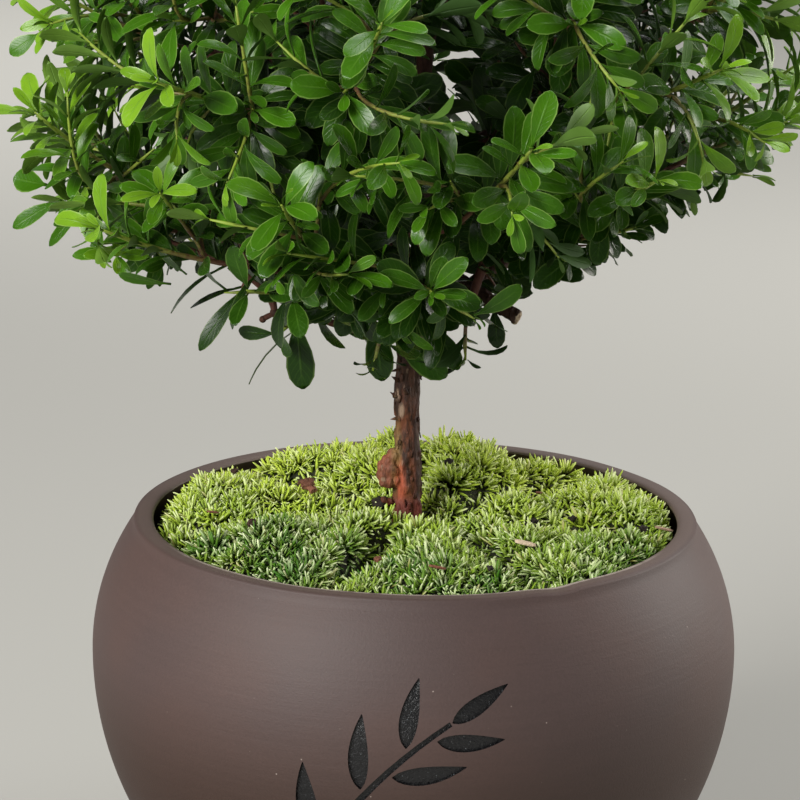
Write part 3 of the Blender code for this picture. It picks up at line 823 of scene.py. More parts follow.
@dataclass(frozen=True)
class PotShape:
    """The pot's sizes, as the CAD source has them."""

    rim_z: float = 0.116
    belly_r: float = 0.090
    belly_drop: float = 0.038
    shoulder_rise: float = 0.074
    lower_fall: float = 0.094
    wall: float = 0.0048
    lip_round: float = 0.0018
    foot_chamfer: float = 0.0012
    foot_width: float = 0.0065
    foot_height: float = 0.003
    floor_top: float = 0.010
    floor_round: float = 0.009
    inner_foot_z: float = 0.018
    drain_r: float = 0.008

    def radius(self, z: float) -> float:
        """The outer radius at a height: two half ellipses that meet at the belly."""
        drop = self.rim_z - z - self.belly_drop
        share = drop / (self.lower_fall if drop > 0 else self.shoulder_rise)
        return self.belly_r * math.sqrt(1.0 - share * share)


@dataclass(frozen=True)
class Stroke:
    """One carved mark: a line from its start over a pull to its end, in the pot's front
    view, as x and the drop under the rim, with its greatest width."""

    start: tuple[float, float]
    pull: tuple[float, float]
    end: tuple[float, float]
    width: float
    leaf: bool = True


@dataclass
class Pot:
    """The clay pot with a carved sprig on its front."""

    shape: PotShape = PotShape()
    turn_steps: int = 224
    outer_rows: int = 70
    lip_rows: int = 12
    inner_rows: int = 26
    lip_inset: float = 0.0008
    lip_square: float = 0.50
    lip_wave: float = 0.00022
    lip_dent: tuple = (0.0385, -0.0665, 0.0052, 0.0008)
    sprig_stem: tuple = ((-0.030, 0.080), (-0.016, 0.047), (0.010, 0.030))
    stem_width: float = 0.0024
    sprig_shares: tuple = (0.20, 0.36, 0.50, 0.63, 0.76, 0.88)
    leaf_lengths: tuple = (0.0225, 0.0150)
    leaf_widths: tuple = (0.0060, 0.0046)
    leaf_lean: float = 0.74
    carve_depth: float = 0.0008
    stroke_rows: int = 12

    def profile(self) -> list[tuple[float, float]]:
        """The section of the wall as radii and heights, round its whole outline."""
        s = self.shape
        lip_z = s.rim_z - s.lip_round
        lip_out, lip_in = s.radius(lip_z), s.radius(lip_z) - s.wall
        middle = (lip_out + lip_in - self.lip_inset) / 2
        half = lip_out - middle
        lip = []
        for turn in steps(0.0, math.pi, self.lip_rows)[1:-1]:
            flat = math.copysign(abs(math.cos(turn)) ** self.lip_square, math.cos(turn))
            lip.append((middle - half * flat, lip_z + s.lip_round * math.sin(turn) ** self.lip_square))
        outer = [(s.radius(z), z) for z in steps(lip_z, s.foot_height, self.outer_rows)]
        foot = s.radius(s.foot_height) - s.foot_chamfer
        base = [(foot, 0.0), (foot - s.foot_width, 0.0)]
        base += [(foot - s.foot_width - s.foot_chamfer, s.foot_height)]
        base += [(s.drain_r, s.foot_height), (s.drain_r, s.floor_top)]
        low = s.radius(s.inner_foot_z) - s.wall
        base += [(low - s.floor_round, s.floor_top)]
        inner = [(s.radius(z) - s.wall, z) for z in steps(s.inner_foot_z, lip_z, self.inner_rows)]
        return lip + outer + base + inner

    def turned(self) -> bpy.types.Mesh:
        """The plain pot, spun from its section, with a lip that isn't quite even."""
        bm = bmesh.new()
        corners = [bm.verts.new((r, 0.0, z)) for r, z in self.profile()]
        edges = [bm.edges.new(pair) for pair in zip(corners, corners[1:] + corners[:1])]
        bmesh.ops.spin(
            bm, geom=corners + edges, axis=(0, 0, 1), cent=(0, 0, 0),
            angle=2 * math.pi, steps=self.turn_steps, use_merge=True,
        )
        bmesh.ops.recalc_face_normals(bm, faces=bm.faces)
        for corner in bm.verts:
            near_lip = max(0.0, 1.0 - (self.shape.rim_z - corner.co.z) / 0.012)
            spot = Vector((corner.co.x, corner.co.y, 0.0)) * 34.0
            x, y, reach, depth = self.lip_dent
            dent = math.exp(-((corner.co.x - x) ** 2 + (corner.co.y - y) ** 2) / reach ** 2)
            corner.co.z += near_lip * (self.lip_wave * noise.noise(spot) - depth * dent)
            swell = 1.0 + 0.0022 * near_lip * noise.noise(spot + Vector((7, 3, 1)))
            corner.co.x *= swell
            corner.co.y *= swell
        return mesh_from("pot_clay", bm)

    def strokes(self) -> list[Stroke]:
        """The carved sprig: a bent stem with a leaf to each side in turn and one at its end."""
        stem = tuple(Vector((x, 0.0, drop)) for x, drop in self.sprig_stem)
        marks = [Stroke(*self.sprig_stem, self.stem_width, leaf=False)]
        for number, share in enumerate((*self.sprig_shares, 1.0)):
            start, way = along(stem, share), heading(stem, share)
            last = number == len(self.sprig_shares)
            lean = 0.0 if last else self.leaf_lean * (1 if number % 2 else -1)
            turned = Vector((way.x * math.cos(lean) - way.z * math.sin(lean), 0.0,
                             way.x * math.sin(lean) + way.z * math.cos(lean)))
            long = self.leaf_lengths[0] + (self.leaf_lengths[1] - self.leaf_lengths[0]) * share
            wide = self.leaf_widths[0] + (self.leaf_widths[1] - self.leaf_widths[0]) * share
            start = start + turned * self.stem_width * (0.2 if last else 1.1)
            end = start + turned * long + way * long * 0.12
            pull = start + turned * long * 0.55 - way * long * 0.06
            marks.append(Stroke((start.x, start.z), (pull.x, pull.z), (end.x, end.z), wide))
        return marks

    def on_front(self, x: float, drop: float, out: float) -> Vector:
        """A point on the pot's front, raised off its surface by out."""
        r = self.shape.radius(self.shape.rim_z - drop) + out
        return Vector((x, -math.sqrt(r * r - x * x), self.shape.rim_z - drop))

    def cutter(self, name: str, stroke: Stroke, ink: bpy.types.Material) -> bpy.types.Object:
        """The solid that carves one stroke: a strip in the stroke's outline, made thick."""
        line = tuple(Vector((x, 0.0, drop)) for x, drop in (stroke.start, stroke.pull, stroke.end))
        bm = bmesh.new()
        slot = bm.verts.layers.int.new("slot")
        grid = bmesh.ops.create_grid(
            bm, x_segments=2, y_segments=self.stroke_rows, size=1.0
        )["verts"]
        spots = []
        for corner in grid:
            side, share = corner.co.x, (corner.co.y + 1) / 2
            swell = math.sin(math.pi * share ** 0.8) ** 0.8 if stroke.leaf else 1.0 - 0.45 * share
            half = max(0.00012, stroke.width / 2 * swell)
            way, point = heading(line, share), along(line, share)
            spots.append((point.x - way.z * side * half, point.z + way.x * side * half))
        for corner, spot in zip(grid, spots):
            corner.co = self.on_front(*spot, -self.carve_depth)
        for number, corner in enumerate(grid):
            corner[slot] = number
        grown = bmesh.ops.extrude_face_region(bm, geom=bm.faces[:])["geom"]
        for corner in grown:
            if isinstance(corner, bmesh.types.BMVert):
                corner.co = self.on_front(*spots[corner[slot]], 0.002)
        bmesh.ops.recalc_face_normals(bm, faces=bm.faces)
        if bm.calc_volume(signed=True) < 0:
            bmesh.ops.reverse_faces(bm, faces=bm.faces)
        mesh = mesh_from(name, bm)
        mesh.materials.append(ink)
        return add_object(name, mesh)

    def build(self) -> bpy.types.Object:
        """Makes the pot, carves it and gives it its finish."""
        ink = InlayFinish().make()
        piece = add_object("pot_clay", self.turned())
        piece.data.materials.append(ClayFinish().make())
        cutters = bpy.data.collections.new("carving")
        for number, stroke in enumerate(self.strokes()):
            tool = self.cutter(f"stroke_{number}", stroke, ink)
            bpy.context.scene.collection.objects.unlink(tool)
            cutters.objects.link(tool)
        carve = piece.modifiers.new("carve", "BOOLEAN")
        carve.operation = "DIFFERENCE"
        carve.operand_type = "COLLECTION"
        carve.collection = cutters
        carve.material_mode = "TRANSFER"
        mesh = evaluated(piece)
        piece.modifiers.clear()
        piece.data = mesh
        mesh.name = "pot_clay"
        mesh.shade_smooth()
        mesh.set_sharp_from_angle(angle=math.radians(38))
        for tool in list(cutters.objects):
            bpy.data.objects.remove(tool, do_unlink=True)
        bpy.data.collections.remove(cutters)
        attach(piece, "root")
        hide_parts("pot")
        return piece


# What has to keep clear of what

class Section:
    """A rectangle across a twig or a leaf: its middle, its axes and its half sizes.
    Its side, its up and the way it grows are square to each other."""

    def __init__(
        self, middle: Vector, way: Vector, hint: Vector, half_side: float, half_up: float
    ) -> None:
        """Sets it square to the way, with its up as near as can be to the hint."""
        self.middle = middle
        self.way = way.normalized()
        self.side = hint.cross(self.way).normalized()
        self.up = self.way.cross(self.side)
        self.half_side = half_side
        self.half_up = half_up

    def corner(self, right: int, top: int, grow: float = 0.0) -> Vector:
        """A corner, with right and top each 1 or -1."""
        across = self.side * (right * (self.half_side + grow))
        return self.middle + across + self.up * (top * (self.half_up + grow))


class Wall(Enum):
    """The four long sides of a twig, by the corners that bound them."""

    SIDE = ((1, 1), (1, -1))
    UP = ((1, 1), (-1, 1))
    OTHER_SIDE = ((-1, 1), (-1, -1))
    DOWN = ((1, -1), (-1, -1))

    def outward(self, section: Section) -> Vector:
        """The way that this wall looks at a section."""
        ways = {
            Wall.SIDE: section.side, Wall.UP: section.up,
            Wall.OTHER_SIDE: -section.side, Wall.DOWN: -section.up,
        }
        return ways[self]


WALLS = (Wall.SIDE, Wall.UP, Wall.OTHER_SIDE, Wall.DOWN)
PAIRS = ((Wall.SIDE, Wall.OTHER_SIDE), (Wall.UP, Wall.DOWN))


def solid_of(sections: Sequence[Section], grow: float) -> tuple[list[Vector], list[tuple]]:
    """The solid through some sections, a little larger all round, but smaller at its foot.

    Args:
        sections: What it runs through.
        grow: How much larger it is.

    Returns:
        Its points and its faces.
    """
    corners = ((1, 1), (-1, 1), (-1, -1), (1, -1))
    points = []
    for part in sections:
        more = grow if part is not sections[0] else -grow / 2
        points += [part.corner(*corner, more) for corner in corners]
    faces = [(0, 1, 2, 3), tuple(len(points) - 4 + i for i in range(4))]
    for row in range(len(sections) - 1):
        for i in range(4):
            j = (i + 1) % 4
            faces.append((4 * row + i, 4 * row + j, 4 * row + 4 + j, 4 * row + 4 + i))
    return points, faces


class Taken:
    """The space that is already filled, for keeping new pieces clear of it."""

    CELL = 0.024

    def __init__(self) -> None:
        """Starts with nothing filled."""
        self.pieces: list[tuple[Vector, float, BVHTree]] = []
        self.large: list[int] = []
        self.cells: dict[tuple[int, int, int], list[int]] = {}

    def cell(self, point: Vector) -> tuple[int, int, int]:
        """The cell that a point is in."""
        return tuple(math.floor(value / self.CELL) for value in point)

    def add(self, points: list[Vector], faces: list) -> int:
        """Notes a piece and gives its number."""
        middle = sum(points, Vector()) / len(points)
        radius = max((point - middle).length for point in points)
        self.pieces.append((middle, radius, BVHTree.FromPolygons(points, faces)))
        number = len(self.pieces) - 1
        if radius > self.CELL / 2:
            self.large.append(number)
        else:
            self.cells.setdefault(self.cell(middle), []).append(number)
        return number

    def around(self, middle: Vector) -> Iterable[int]:
        """The numbers of the pieces that may reach a small piece."""
        yield from self.large
        x, y, z = self.cell(middle)
        for i in (x - 1, x, x + 1):
            for j in (y - 1, y, y + 1):
                for k in (z - 1, z, z + 1):
                    yield from self.cells.get((i, j, k), ())

    def meets(self, points: list[Vector], faces: list, parent: int | None) -> bool:
        """Whether a piece would meet another one, its parent aside."""
        middle = sum(points, Vector()) / len(points)
        radius = max((point - middle).length for point in points)
        tree = None
        near = self.around(middle) if radius <= self.CELL / 2 else range(len(self.pieces))
        for number in near:
            centre, reach, taken = self.pieces[number]
            if number == parent or (centre - middle).length > reach + radius:
                continue
            tree = tree or BVHTree.FromPolygons(points, faces)
            if tree.overlap(taken):
                return True
        return False


# The tree

@dataclass(frozen=True)
class TreeShape:
    """The tree's sizes and its rules of growth, as the CAD source has them."""

    rim_z: float = 0.116
    stem_x: float = -0.0022
    stem_y: float = -0.0015
    stem_foot: float = 0.104
    trunk: tuple = (
        ((-0.0022, -0.0015, 0.0763), 0.0048),
        ((-0.0022, -0.0015, 0.104), 0.0048),
        ((-0.0024, -0.0015, 0.120), 0.0044),
        ((-0.0022, -0.0010, 0.132), 0.0039),
        ((-0.0031, 0.0000, 0.150), 0.0037),
        ((-0.0014, 0.0010, 0.168), 0.0038),
        ((0.0012, 0.0020, 0.196), 0.0030),
        ((0.0010, 0.0000, 0.224), 0.0022),
        ((0.0000, -0.0020, 0.252), 0.0016),
    )
    burl: tuple = (
        ((-0.0035, -0.0020, 0.1365), 0.0020),
        ((-0.0070, -0.0030, 0.1315), 0.0025),
        ((-0.0078, -0.0034, 0.1260), 0.0021),
    )
    pruned: tuple = (
        ((0.0000, 0.0000, 0.1895), 0.0024),
        ((0.0100, -0.0050, 0.1845), 0.0022),
        ((0.0272, -0.0155, 0.1760), 0.0020),
    )
    fork: tuple = (0.0033, -0.0014, 0.178)
    reach: Table = (
        (0, 0.163), (25, 0.160), (45, 0.150), (62, 0.134), (76, 0.119), (86, 0.090),
        (96, 0.064), (110, 0.045),
    )
    right_lift: float = 10.0
    underside: Table = (
        (0.0, 0.040), (0.030, 0.046), (0.058, 0.055), (0.086, 0.069), (0.114, 0.090),
    )
    right_rise: Table = ((0.0, 0.0), (0.050, 0.022), (0.100, 0.034))
    upper_branches: int = 34
    lower_branches: int = 8
    top_angle: float = 7
    side_angle: float = 74
    low_reach: tuple = (0.098, 0.074)
    low_rise: float = 0.008
    low: float = 80
    hanging_tips: tuple = (
        (-0.038, -0.014, 0.170), (-0.012, -0.024, 0.163), (0.013, -0.019, 0.165),
        (0.021, 0.020, 0.174), (-0.018, 0.025, 0.166),
    )
    golden_turn: float = math.radians(137.508)
    limb_tiers: tuple = ((0, 30, 1, 0.120), (30, 57, 4, 0.080), (57, 180, 5, 0.051))
    limb_share: float = 0.46
    limb_spacing: float = 0.005
    limb_sag: float = 0.004
    limb_bow: float = 0.004
    limb_r: float = 0.0024
    leader_r: float = 0.0018
    limb_taper: float = 0.28
    branch_spread: float = 0.62
    last_branch: float = 0.97
    stub_sway: float = 0.005
    stub_sag: float = 0.003
    stub_root_r: float = 0.0016
    stub_r: float = 0.0014
    twig_start: float = 0.44
    twig_pull: float = 0.45
    tip_margin: float = 0.010
    hanging: float = 150
    seed: int = 46
    twig_half: float = 0.0010
    shoot_half: float = 0.0008
    band: float = 0.0013
    pair_shares: tuple = (0.0, 0.36, 0.70, 1.0)
    short_twig: float = 0.020
    short_shares: tuple = (0.0, 1.0)
    shoot_pair: int = 1
    shoot_length: tuple = (0.015, 0.019)
    shoot_bow: float = 0.0012
    tip_sway: float = 0.005
    leaf_length: float = 0.0175
    leaf_half_width: float = 0.0041
    full_rows: tuple = ((0.36, 0.64, 1.0), (0.72, 1.0, 1.0), (1.0, 0.42, 0.86))
    plain_rows: tuple = ((0.60, 0.98, 1.0), (1.0, 0.46, 0.86))
    leaf_half_thick: float = 0.00035
    leaf_curl: tuple = (0.38, 0.98)
    leaf_light: float = 0.35
    twig_splay: tuple = (50, 62)
    tip_splay: float = 34
    shoot_splay: tuple = (34, 46)
    twig_sizes: tuple = (0.92, 1.12)
    tip_size: float = 0.90
    shoot_sizes: tuple = (0.85, 1.02)
    clearance: float = 0.0004
    tries: int = 10
    twig_tries: int = 24

    def centre(self) -> Vector:
        """The crown's fork, from which its reach is measured."""
        return Vector(self.fork)

    def floor_of_crown(self, point: Vector) -> float:
        """The height of the crown's underside over or under a point."""
        away = Vector((point.x - self.fork[0], point.y - self.fork[1]))
        low = self.rim_z + interpolate(self.underside, away.length)
        return low + interpolate(self.right_rise, away.x)

    def reach_towards(self, point: Vector) -> float:
        """How far the crown reaches from its fork towards a point."""
        away = point - self.centre()
        angle = math.degrees(away.angle(Vector((0, 0, 1)), 0.0))
        turn = math.atan2(away.y, away.x)
        return self.reach_at(angle, turn)

    def reach_at(self, angle: float, turn: float) -> float:
        """The crown's reach at an angle from upright and a turn."""
        lifted = angle + self.right_lift * max(0.0, math.cos(turn)) * min(1.0, angle / 60)
        return interpolate(self.reach, lifted)

    def trunk_at(self, height: float) -> Vector:
        """The trunk's middle line at a height over the rim."""
        table = [(point[2] - self.rim_z, Vector(point)) for point, _ in self.trunk]
        return interpolate(table, height)


@dataclass
class LeafPlace:
    """Where one leaf grows, how large it is and how it bends."""

    neck: Section
    size: float
    curl: float
    age: float
    luck: float
    fold: float = 0.2
    twist: float = 0.0
    slim: float = 0.84


@dataclass
class Shoot:
    """A stem that carries leaves: its curve, a way square to it, its half widths at its
    two ends, its number among the taken pieces and its age at both ends."""

    line: Line
    hint: Vector
    half: tuple[float, float]
    number: int | None
    ages: tuple[float, float]

    def length(self) -> float:
        """How long it is, straight from end to end."""
        return (self.line[2] - self.line[0]).length

    def section(self, share: float) -> Section:
        """The section across it at a share of its length."""
        size = self.half[0] + (self.half[1] - self.half[0]) * share
        return Section(along(self.line, share), heading(self.line, share), self.hint, size, size)

    def age(self, share: float) -> float:
        """How young it is at a share of its length, from 0 for old to 1 for new."""
        return self.ages[0] + (self.ages[1] - self.ages[0]) * share


@dataclass
class Spray:
    """All that one leafy branch is made of."""

    node: str
    shoots: list[Shoot] = field(default_factory=list)
    leaves: list[LeafPlace] = field(default_factory=list)


@dataclass(frozen=True)
class LoneLeaf:
    """A leaf that is placed on its own: its foot, its tip, its width and the way its upper
    face looks, with how young it is and how far it curls."""

    foot: tuple[float, float, float]
    tip: tuple[float, float, float]
    width: float
    looks: tuple[float, float, float] = (0.0, -1.0, 0.2)
    age: float = 0.12
    curl: float = 0.3
    fold: float = 0.12

    def place(self, shape: TreeShape) -> LeafPlace:
        """The leaf in the terms of the crown's own."""
        foot, tip = Vector(self.foot), Vector(self.tip)
        chord = tip - foot
        size = chord.length / shape.leaf_length
        look = Vector(self.looks)
        look = (look - chord * look.dot(chord) / chord.length_squared).normalized()
        way = (chord.normalized() + look * math.tan(self.curl / 2)).normalized()
        neck = Section(foot, way, look, 0.0005, 0.0005)
        slim = self.width / 2 / (shape.leaf_half_width * size)
        return LeafPlace(neck, size, self.curl, self.age, 0.4, self.fold, 0.0, slim)


@dataclass(frozen=True)
class ClearView:
    """A strip of the front view that extra leaves stay out of: its two ends, across and up
    the view, its half width, and how far forward a leaf has to be for this to count."""

    first: tuple[float, float]
    last: tuple[float, float]
    half: float
    before: float = 1.0
    lift: float = math.radians(16.48)

    def blocks(self, point: Vector, rim_z: float) -> bool:
        """Whether a point is in the strip."""
        if point.y > self.before:
            return False
        up = (point.z - rim_z) * math.cos(self.lift) + point.y * math.sin(self.lift)
        spot, first, last = Vector((point.x, up)), Vector(self.first), Vector(self.last)
        run = last - first
        share = max(0.0, min(1.0, (spot - first).dot(run) / run.length_squared))
        return (spot - first - run * share).length < self.half


@dataclass
class Crown:
    """The plan of the tree: its limbs and, leaf by leaf, its leafy branches."""

    shape: TreeShape = TreeShape()
    node_gap: float = 0.0036
    leaf_gain: float = 1.14
    side_shoot_chance: float = 0.66
    side_shoot_lengths: tuple = (0.010, 0.025)
    inner_gap: float = 0.0036
    cad_leaf_scale: float = 0.88
    stem_half: tuple = (0.00066, 0.00048)
    slim_thick: float = 0.00014
    slim_clearance: float = 0.00005
    slim_range: tuple = (0.62, 0.92)
    tries: int = 10
    bud_size: float = 0.36
    margin: float = 0.002
    gap_seed: int = 77
    gap_layers: tuple = ((1.0, 620, 0.0105), (0.82, 260, 0.0125), (0.60, 120, 0.0120))
    gap_lowest: float = -0.12
    gap_margin: float = 0.009
    gap_rise: float = 0.008
    gap_lengths: tuple = (0.014, 0.055)
    gap_lean: float = 1.25
    gap_tries: int = 12
    # Painted shade and light through the leaves' age: these tables darken the leaves under the crown, deep
    # in it and in the middle across the view, and lighten those at the sides of the view.
    low_painted_shade: Table = ((0.0, 0.30), (0.018, 0.55), (0.050, 1.0))
    slim_across: Table = ((-0.095, 0.80), (-0.020, 0.95), (0.060, 1.02))
    deep_painted_shade: Table = ((0.55, 0.30), (0.78, 0.58), (0.94, 1.0))
    rim_share: Table = ((0.045, 0.0), (0.085, 1.0))
    side_painted_light: Table = ((0.010, 0.72), (0.045, 0.90), (0.070, 1.15), (0.095, 1.32))
    clear_views: tuple = (
        ClearView((0.0115, 0.0625), (0.0285, 0.0525), 0.0042, before=-0.0070),
        ClearView((-0.0420, 0.0480), (-0.0200, 0.0450), 0.0050),
        ClearView((0.0330, 0.0560), (0.0520, 0.0610), 0.0040),
        ClearView((-0.0640, 0.0600), (-0.0440, 0.0520), 0.0055),
        ClearView((-0.0630, 0.0690), (-0.0420, 0.0560), 0.0040),
    )
    lone_leaves: tuple = (
        LoneLeaf((-0.0332, -0.0142, 0.1756), (-0.0310, -0.0150, 0.1552), 0.0080),
        LoneLeaf((-0.0474, -0.0150, 0.1832), (-0.0591, -0.0180, 0.1663), 0.0050, (-0.5, -0.8, 0.2)),
        LoneLeaf((-0.0476, -0.0150, 0.1836), (-0.0619, -0.0110, 0.1765), 0.0052, (-0.1, -0.2, 1.0)),
        LoneLeaf((-0.0515, -0.0180, 0.1902), (-0.0670, -0.0170, 0.1762), 0.0055, (-0.5, -0.1, 0.9),
                 curl=0.6),
        LoneLeaf((-0.0262, -0.0132, 0.1746), (-0.0464, -0.0160, 0.1560), 0.0052, (-0.7, 0.1, 0.6),
                 curl=0.9),
        LoneLeaf((-0.0276, -0.0150, 0.1866), (-0.0251, -0.0170, 0.1737), 0.0066),
        LoneLeaf((-0.0164, -0.0150, 0.1827), (-0.0212, -0.0170, 0.1707), 0.0064),
        LoneLeaf((-0.0122, -0.0130, 0.1763), (-0.0094, -0.0150, 0.1578), 0.0078, age=0.15),
        LoneLeaf((-0.0074, -0.0120, 0.1698), (0.0081, -0.0140, 0.1590), 0.0078, age=0.28),
        LoneLeaf((0.0038, -0.0130, 0.1742), (0.0112, -0.0150, 0.1613), 0.0060, age=0.22),
        LoneLeaf((0.0000, -0.0160, 0.1780), (0.0026, -0.0190, 0.1712), 0.0044, age=0.62),
        LoneLeaf((0.0205, -0.0080, 0.1775), (0.0218, -0.0090, 0.1660), 0.0050, age=0.10),
    )
    inner_leaves: tuple = (
        LoneLeaf((0.0026, 0.0450, 0.2397), (0.0161, 0.0460, 0.2440), 0.0078, age=0.20),
        LoneLeaf((0.0190, 0.0450, 0.2366), (0.0072, 0.0440, 0.2317), 0.0074, age=0.15),
        LoneLeaf((0.0161, 0.0380, 0.2290), (0.0065, 0.0370, 0.2370), 0.0060, age=0.22),
        LoneLeaf((0.0096, 0.0450, 0.2268), (0.0196, 0.0460, 0.2225), 0.0070, age=0.18),
        LoneLeaf((0.0200, 0.0400, 0.2500), (0.0130, 0.0410, 0.2400), 0.0052, age=0.25),
    )
    edge_leaves: tuple = (
        LoneLeaf((-0.1016, 0.0, 0.2077), (-0.1109, 0.0, 0.2094), 0.0070, (0.1, -0.9, 0.4), age=0.55),
        LoneLeaf((-0.0978, 0.0, 0.2037), (-0.1112, 0.0, 0.1957), 0.0052, (-0.2, -0.8, 0.6), age=0.45),
        LoneLeaf((-0.0907, 0.0, 0.2026), (-0.1013, 0.0, 0.1907), 0.0042, (-0.4, -0.7, 0.6), age=0.35),
        LoneLeaf((-0.1031, 0.0, 0.2494), (-0.1113, 0.0, 0.2436), 0.0056, (0.0, -0.8, 0.6), age=0.60),
    )
    bare_view: ClearView = ClearView((-0.0790, 0.0600), (-0.0680, 0.0530), 0.0055)
    taken: Taken = field(default_factory=Taken)
    limbs: list = field(default_factory=list)
    stubs: list = field(default_factory=list)
    sprays: list[Spray] = field(default_factory=list)

    def tips(self) -> list[tuple[float, float, Vector]]:
        """The angle from upright, the turn and the tip of each leafy branch."""
        s = self.shape
        top, side = math.cos(math.radians(s.top_angle)), math.cos(math.radians(s.side_angle))
        ways = []
        for i in range(s.upper_branches):
            height = top + (side - top) * (i + 0.5) / s.upper_branches
            ways.append((math.degrees(math.acos(height)), i * s.golden_turn))
        placed = []
        for angle, turn in ways:
            reach = s.reach_at(angle, turn) - s.tip_margin
            placed.append((angle, turn, s.centre() + direction(angle, turn) * reach))
        for i in range(s.lower_branches):
            turn = 2 * math.pi * i / s.lower_branches
            placed.append((s.low, turn, s.centre() + direction(90, turn) * s.low_reach[i % 2]))
        for angle, _, tip in placed:
            least = s.floor_of_crown(tip) + s.low_rise
            tip.z = least if angle == s.low else max(tip.z, least)
        for place in s.hanging_tips:
            tip = Vector(place)
            placed.append((s.hanging, math.atan2(tip.y, tip.x), tip))
        return placed

    def plan(self) -> list[tuple]:
        """Lays out the limbs and the stubs, and gives each twig's curve with a way square
        to it."""
        s = self.shape
        tips, twigs = self.tips(), []
        for steep, flat, count, lowest in s.limb_tiers:
            groups = [[] for _ in range(count)]
            for tip in (tip for tip in tips if steep <= tip[0] < flat):
                sector = (tip[1] % (2 * math.pi)) / (2 * math.pi) * count
                groups[int(sector) % count].append(tip)
            for index, group in enumerate(groups):
                reached = [tip for angle, _, tip in group if angle != s.hanging]
                middle = sum(reached, Vector()) / len(reached)
                start = s.trunk_at(lowest + s.limb_spacing * index)
                end = start.lerp(middle, s.limb_share)
                end.z -= s.limb_sag if count > 1 else 0.0
                limb = (start, start.lerp(end, 0.5) + Vector((0, 0, s.limb_bow)), end)
                self.limbs.append((limb, s.limb_r if count > 1 else s.leader_r))
                group.sort(key=lambda tip: (tip[2] - end).length, reverse=True)
                for place, (_, _, tip) in enumerate(group):
                    share = 1.0 - s.branch_spread * place / max(1, len(group) - 1)
                    root = along(limb, min(share, s.last_branch))
                    twigs.append(self.plan_twig(len(twigs), root, tip))
        return twigs

    def plan_twig(self, index: int, root: Vector, tip: Vector) -> tuple:
        """The curve of one twig from the end of its stub, and a way square to it."""
        s = self.shape
        rng = random.Random(s.seed + index)
        sway = Vector([rng.uniform(-s.stub_sway, s.stub_sway) for _ in range(3)])
        curve = (root, root.lerp(tip, 0.5) + sway - Vector((0, 0, s.stub_sag)), tip)
        joint = along(curve, s.twig_start)
        way = (joint - root).normalized()
        start = joint + way * s.clearance
        pull = start + way * ((tip - start).length * s.twig_pull)
        turn = rng.uniform(0, math.pi)
        across = way.cross(Vector((0, 0, 1)))
        across = across.normalized() if across.length > 0.05 else Vector((1, 0, 0))
        hint = across * math.cos(turn) + way.cross(across) * math.sin(turn)
        self.stubs.append((root, joint))
        return (start, pull, tip), hint

    def bands(self, line: Line, hint: Vector, shares: Sequence[float], half: tuple) -> list:
        """Two sections for each pair of leaves along a twig, a short band apart."""
        length = (line[2] - line[0]).length
        step = self.shape.band / length
        sections = []
        for share in shares:
            first = max(0.0, min(share, 1.0 - step))
            for place in (first, first + step):
                size = half[0] + (half[1] - half[0]) * place
                way = heading(line, place)
                sections.append(Section(along(line, place), way, hint, size, size))
        return sections

    def wall(self, first: Section, last: Section, wall: Wall) -> tuple[Vector, Vector]:
        """The middle and the outward way of a wall of a band between two sections."""
        (a, b), (c, d) = [[part.corner(*corner) for corner in wall.value] for part in (first, last)]
        outward = (a - d).cross(b - c).normalized()
        if outward.dot(wall.outward(last)) < 0:
            outward = -outward
        return (a + b + c + d) / 4, outward

    def leaf_solid(self, spot: Vector, way: Vector, hint: Vector, size: float, curl: float,
                   rows: Sequence, thick: float, slim: float = 1.0) -> list[Section]:
        """The sections of a leaf that starts at a spot and bends back as it goes."""
        s = self.shape
        neck = Section(spot, way, hint, s.shoot_half * 0.7, s.shoot_half * 0.7)
        sections, middle, last = [neck], spot, 0.0
        for share, width, thin in rows:
            angle = -curl * (share + last) / 2
            bent = neck.way * math.cos(angle) + neck.up * math.sin(angle)
            middle = middle + bent * (s.leaf_length * size * (share - last))
            angle = -curl * share
            bent = neck.way * math.cos(angle) + neck.up * math.sin(angle)
            up = neck.up * math.cos(angle) - neck.way * math.sin(angle)
            half = s.leaf_half_width * size * width * slim
            sections.append(Section(middle, bent, up, half, thick * thin))
            last = share
        return sections

    def cad_leaf(self, rng: random.Random, parent: int, spot: Vector, outward: Vector,
                 section: Section, splay: float, size: float, rows: Sequence) -> LeafPlace | None:
        """Grows one leaf as the CAD source does, or none where there is no room."""
        s = self.shape
        foot = Section(spot, outward, section.way, section.half_side, s.band / 2)
        for attempt in range(s.tries):
            turn = rng.uniform(-0.55, 0.55) if attempt else 0.0
            lean = splay + (rng.uniform(-0.30, 0.30) if attempt else 0.0)
            way = section.way * math.cos(lean) + outward * math.sin(lean)
            way = (way + foot.side * turn * math.sin(lean)).normalized()
            hint = (section.way + Vector((0, 0, s.leaf_light))).normalized()
            curl = rng.uniform(*s.leaf_curl)
            sized = size * (1 - 0.02 * attempt)
            parts = self.leaf_solid(spot, way, hint, sized, curl, rows, s.leaf_half_thick)
            tested = [foot] + parts[1:]
            low = parts[-1].middle
            clear = low.z > min(spot.z, s.floor_of_crown(low))
            if clear and not self.taken.meets(*solid_of(tested, s.clearance), parent):
                self.taken.add(*solid_of(tested, 0.0))
                return LeafPlace(parts[0], sized, curl, 0.0, 0.0)
        return None

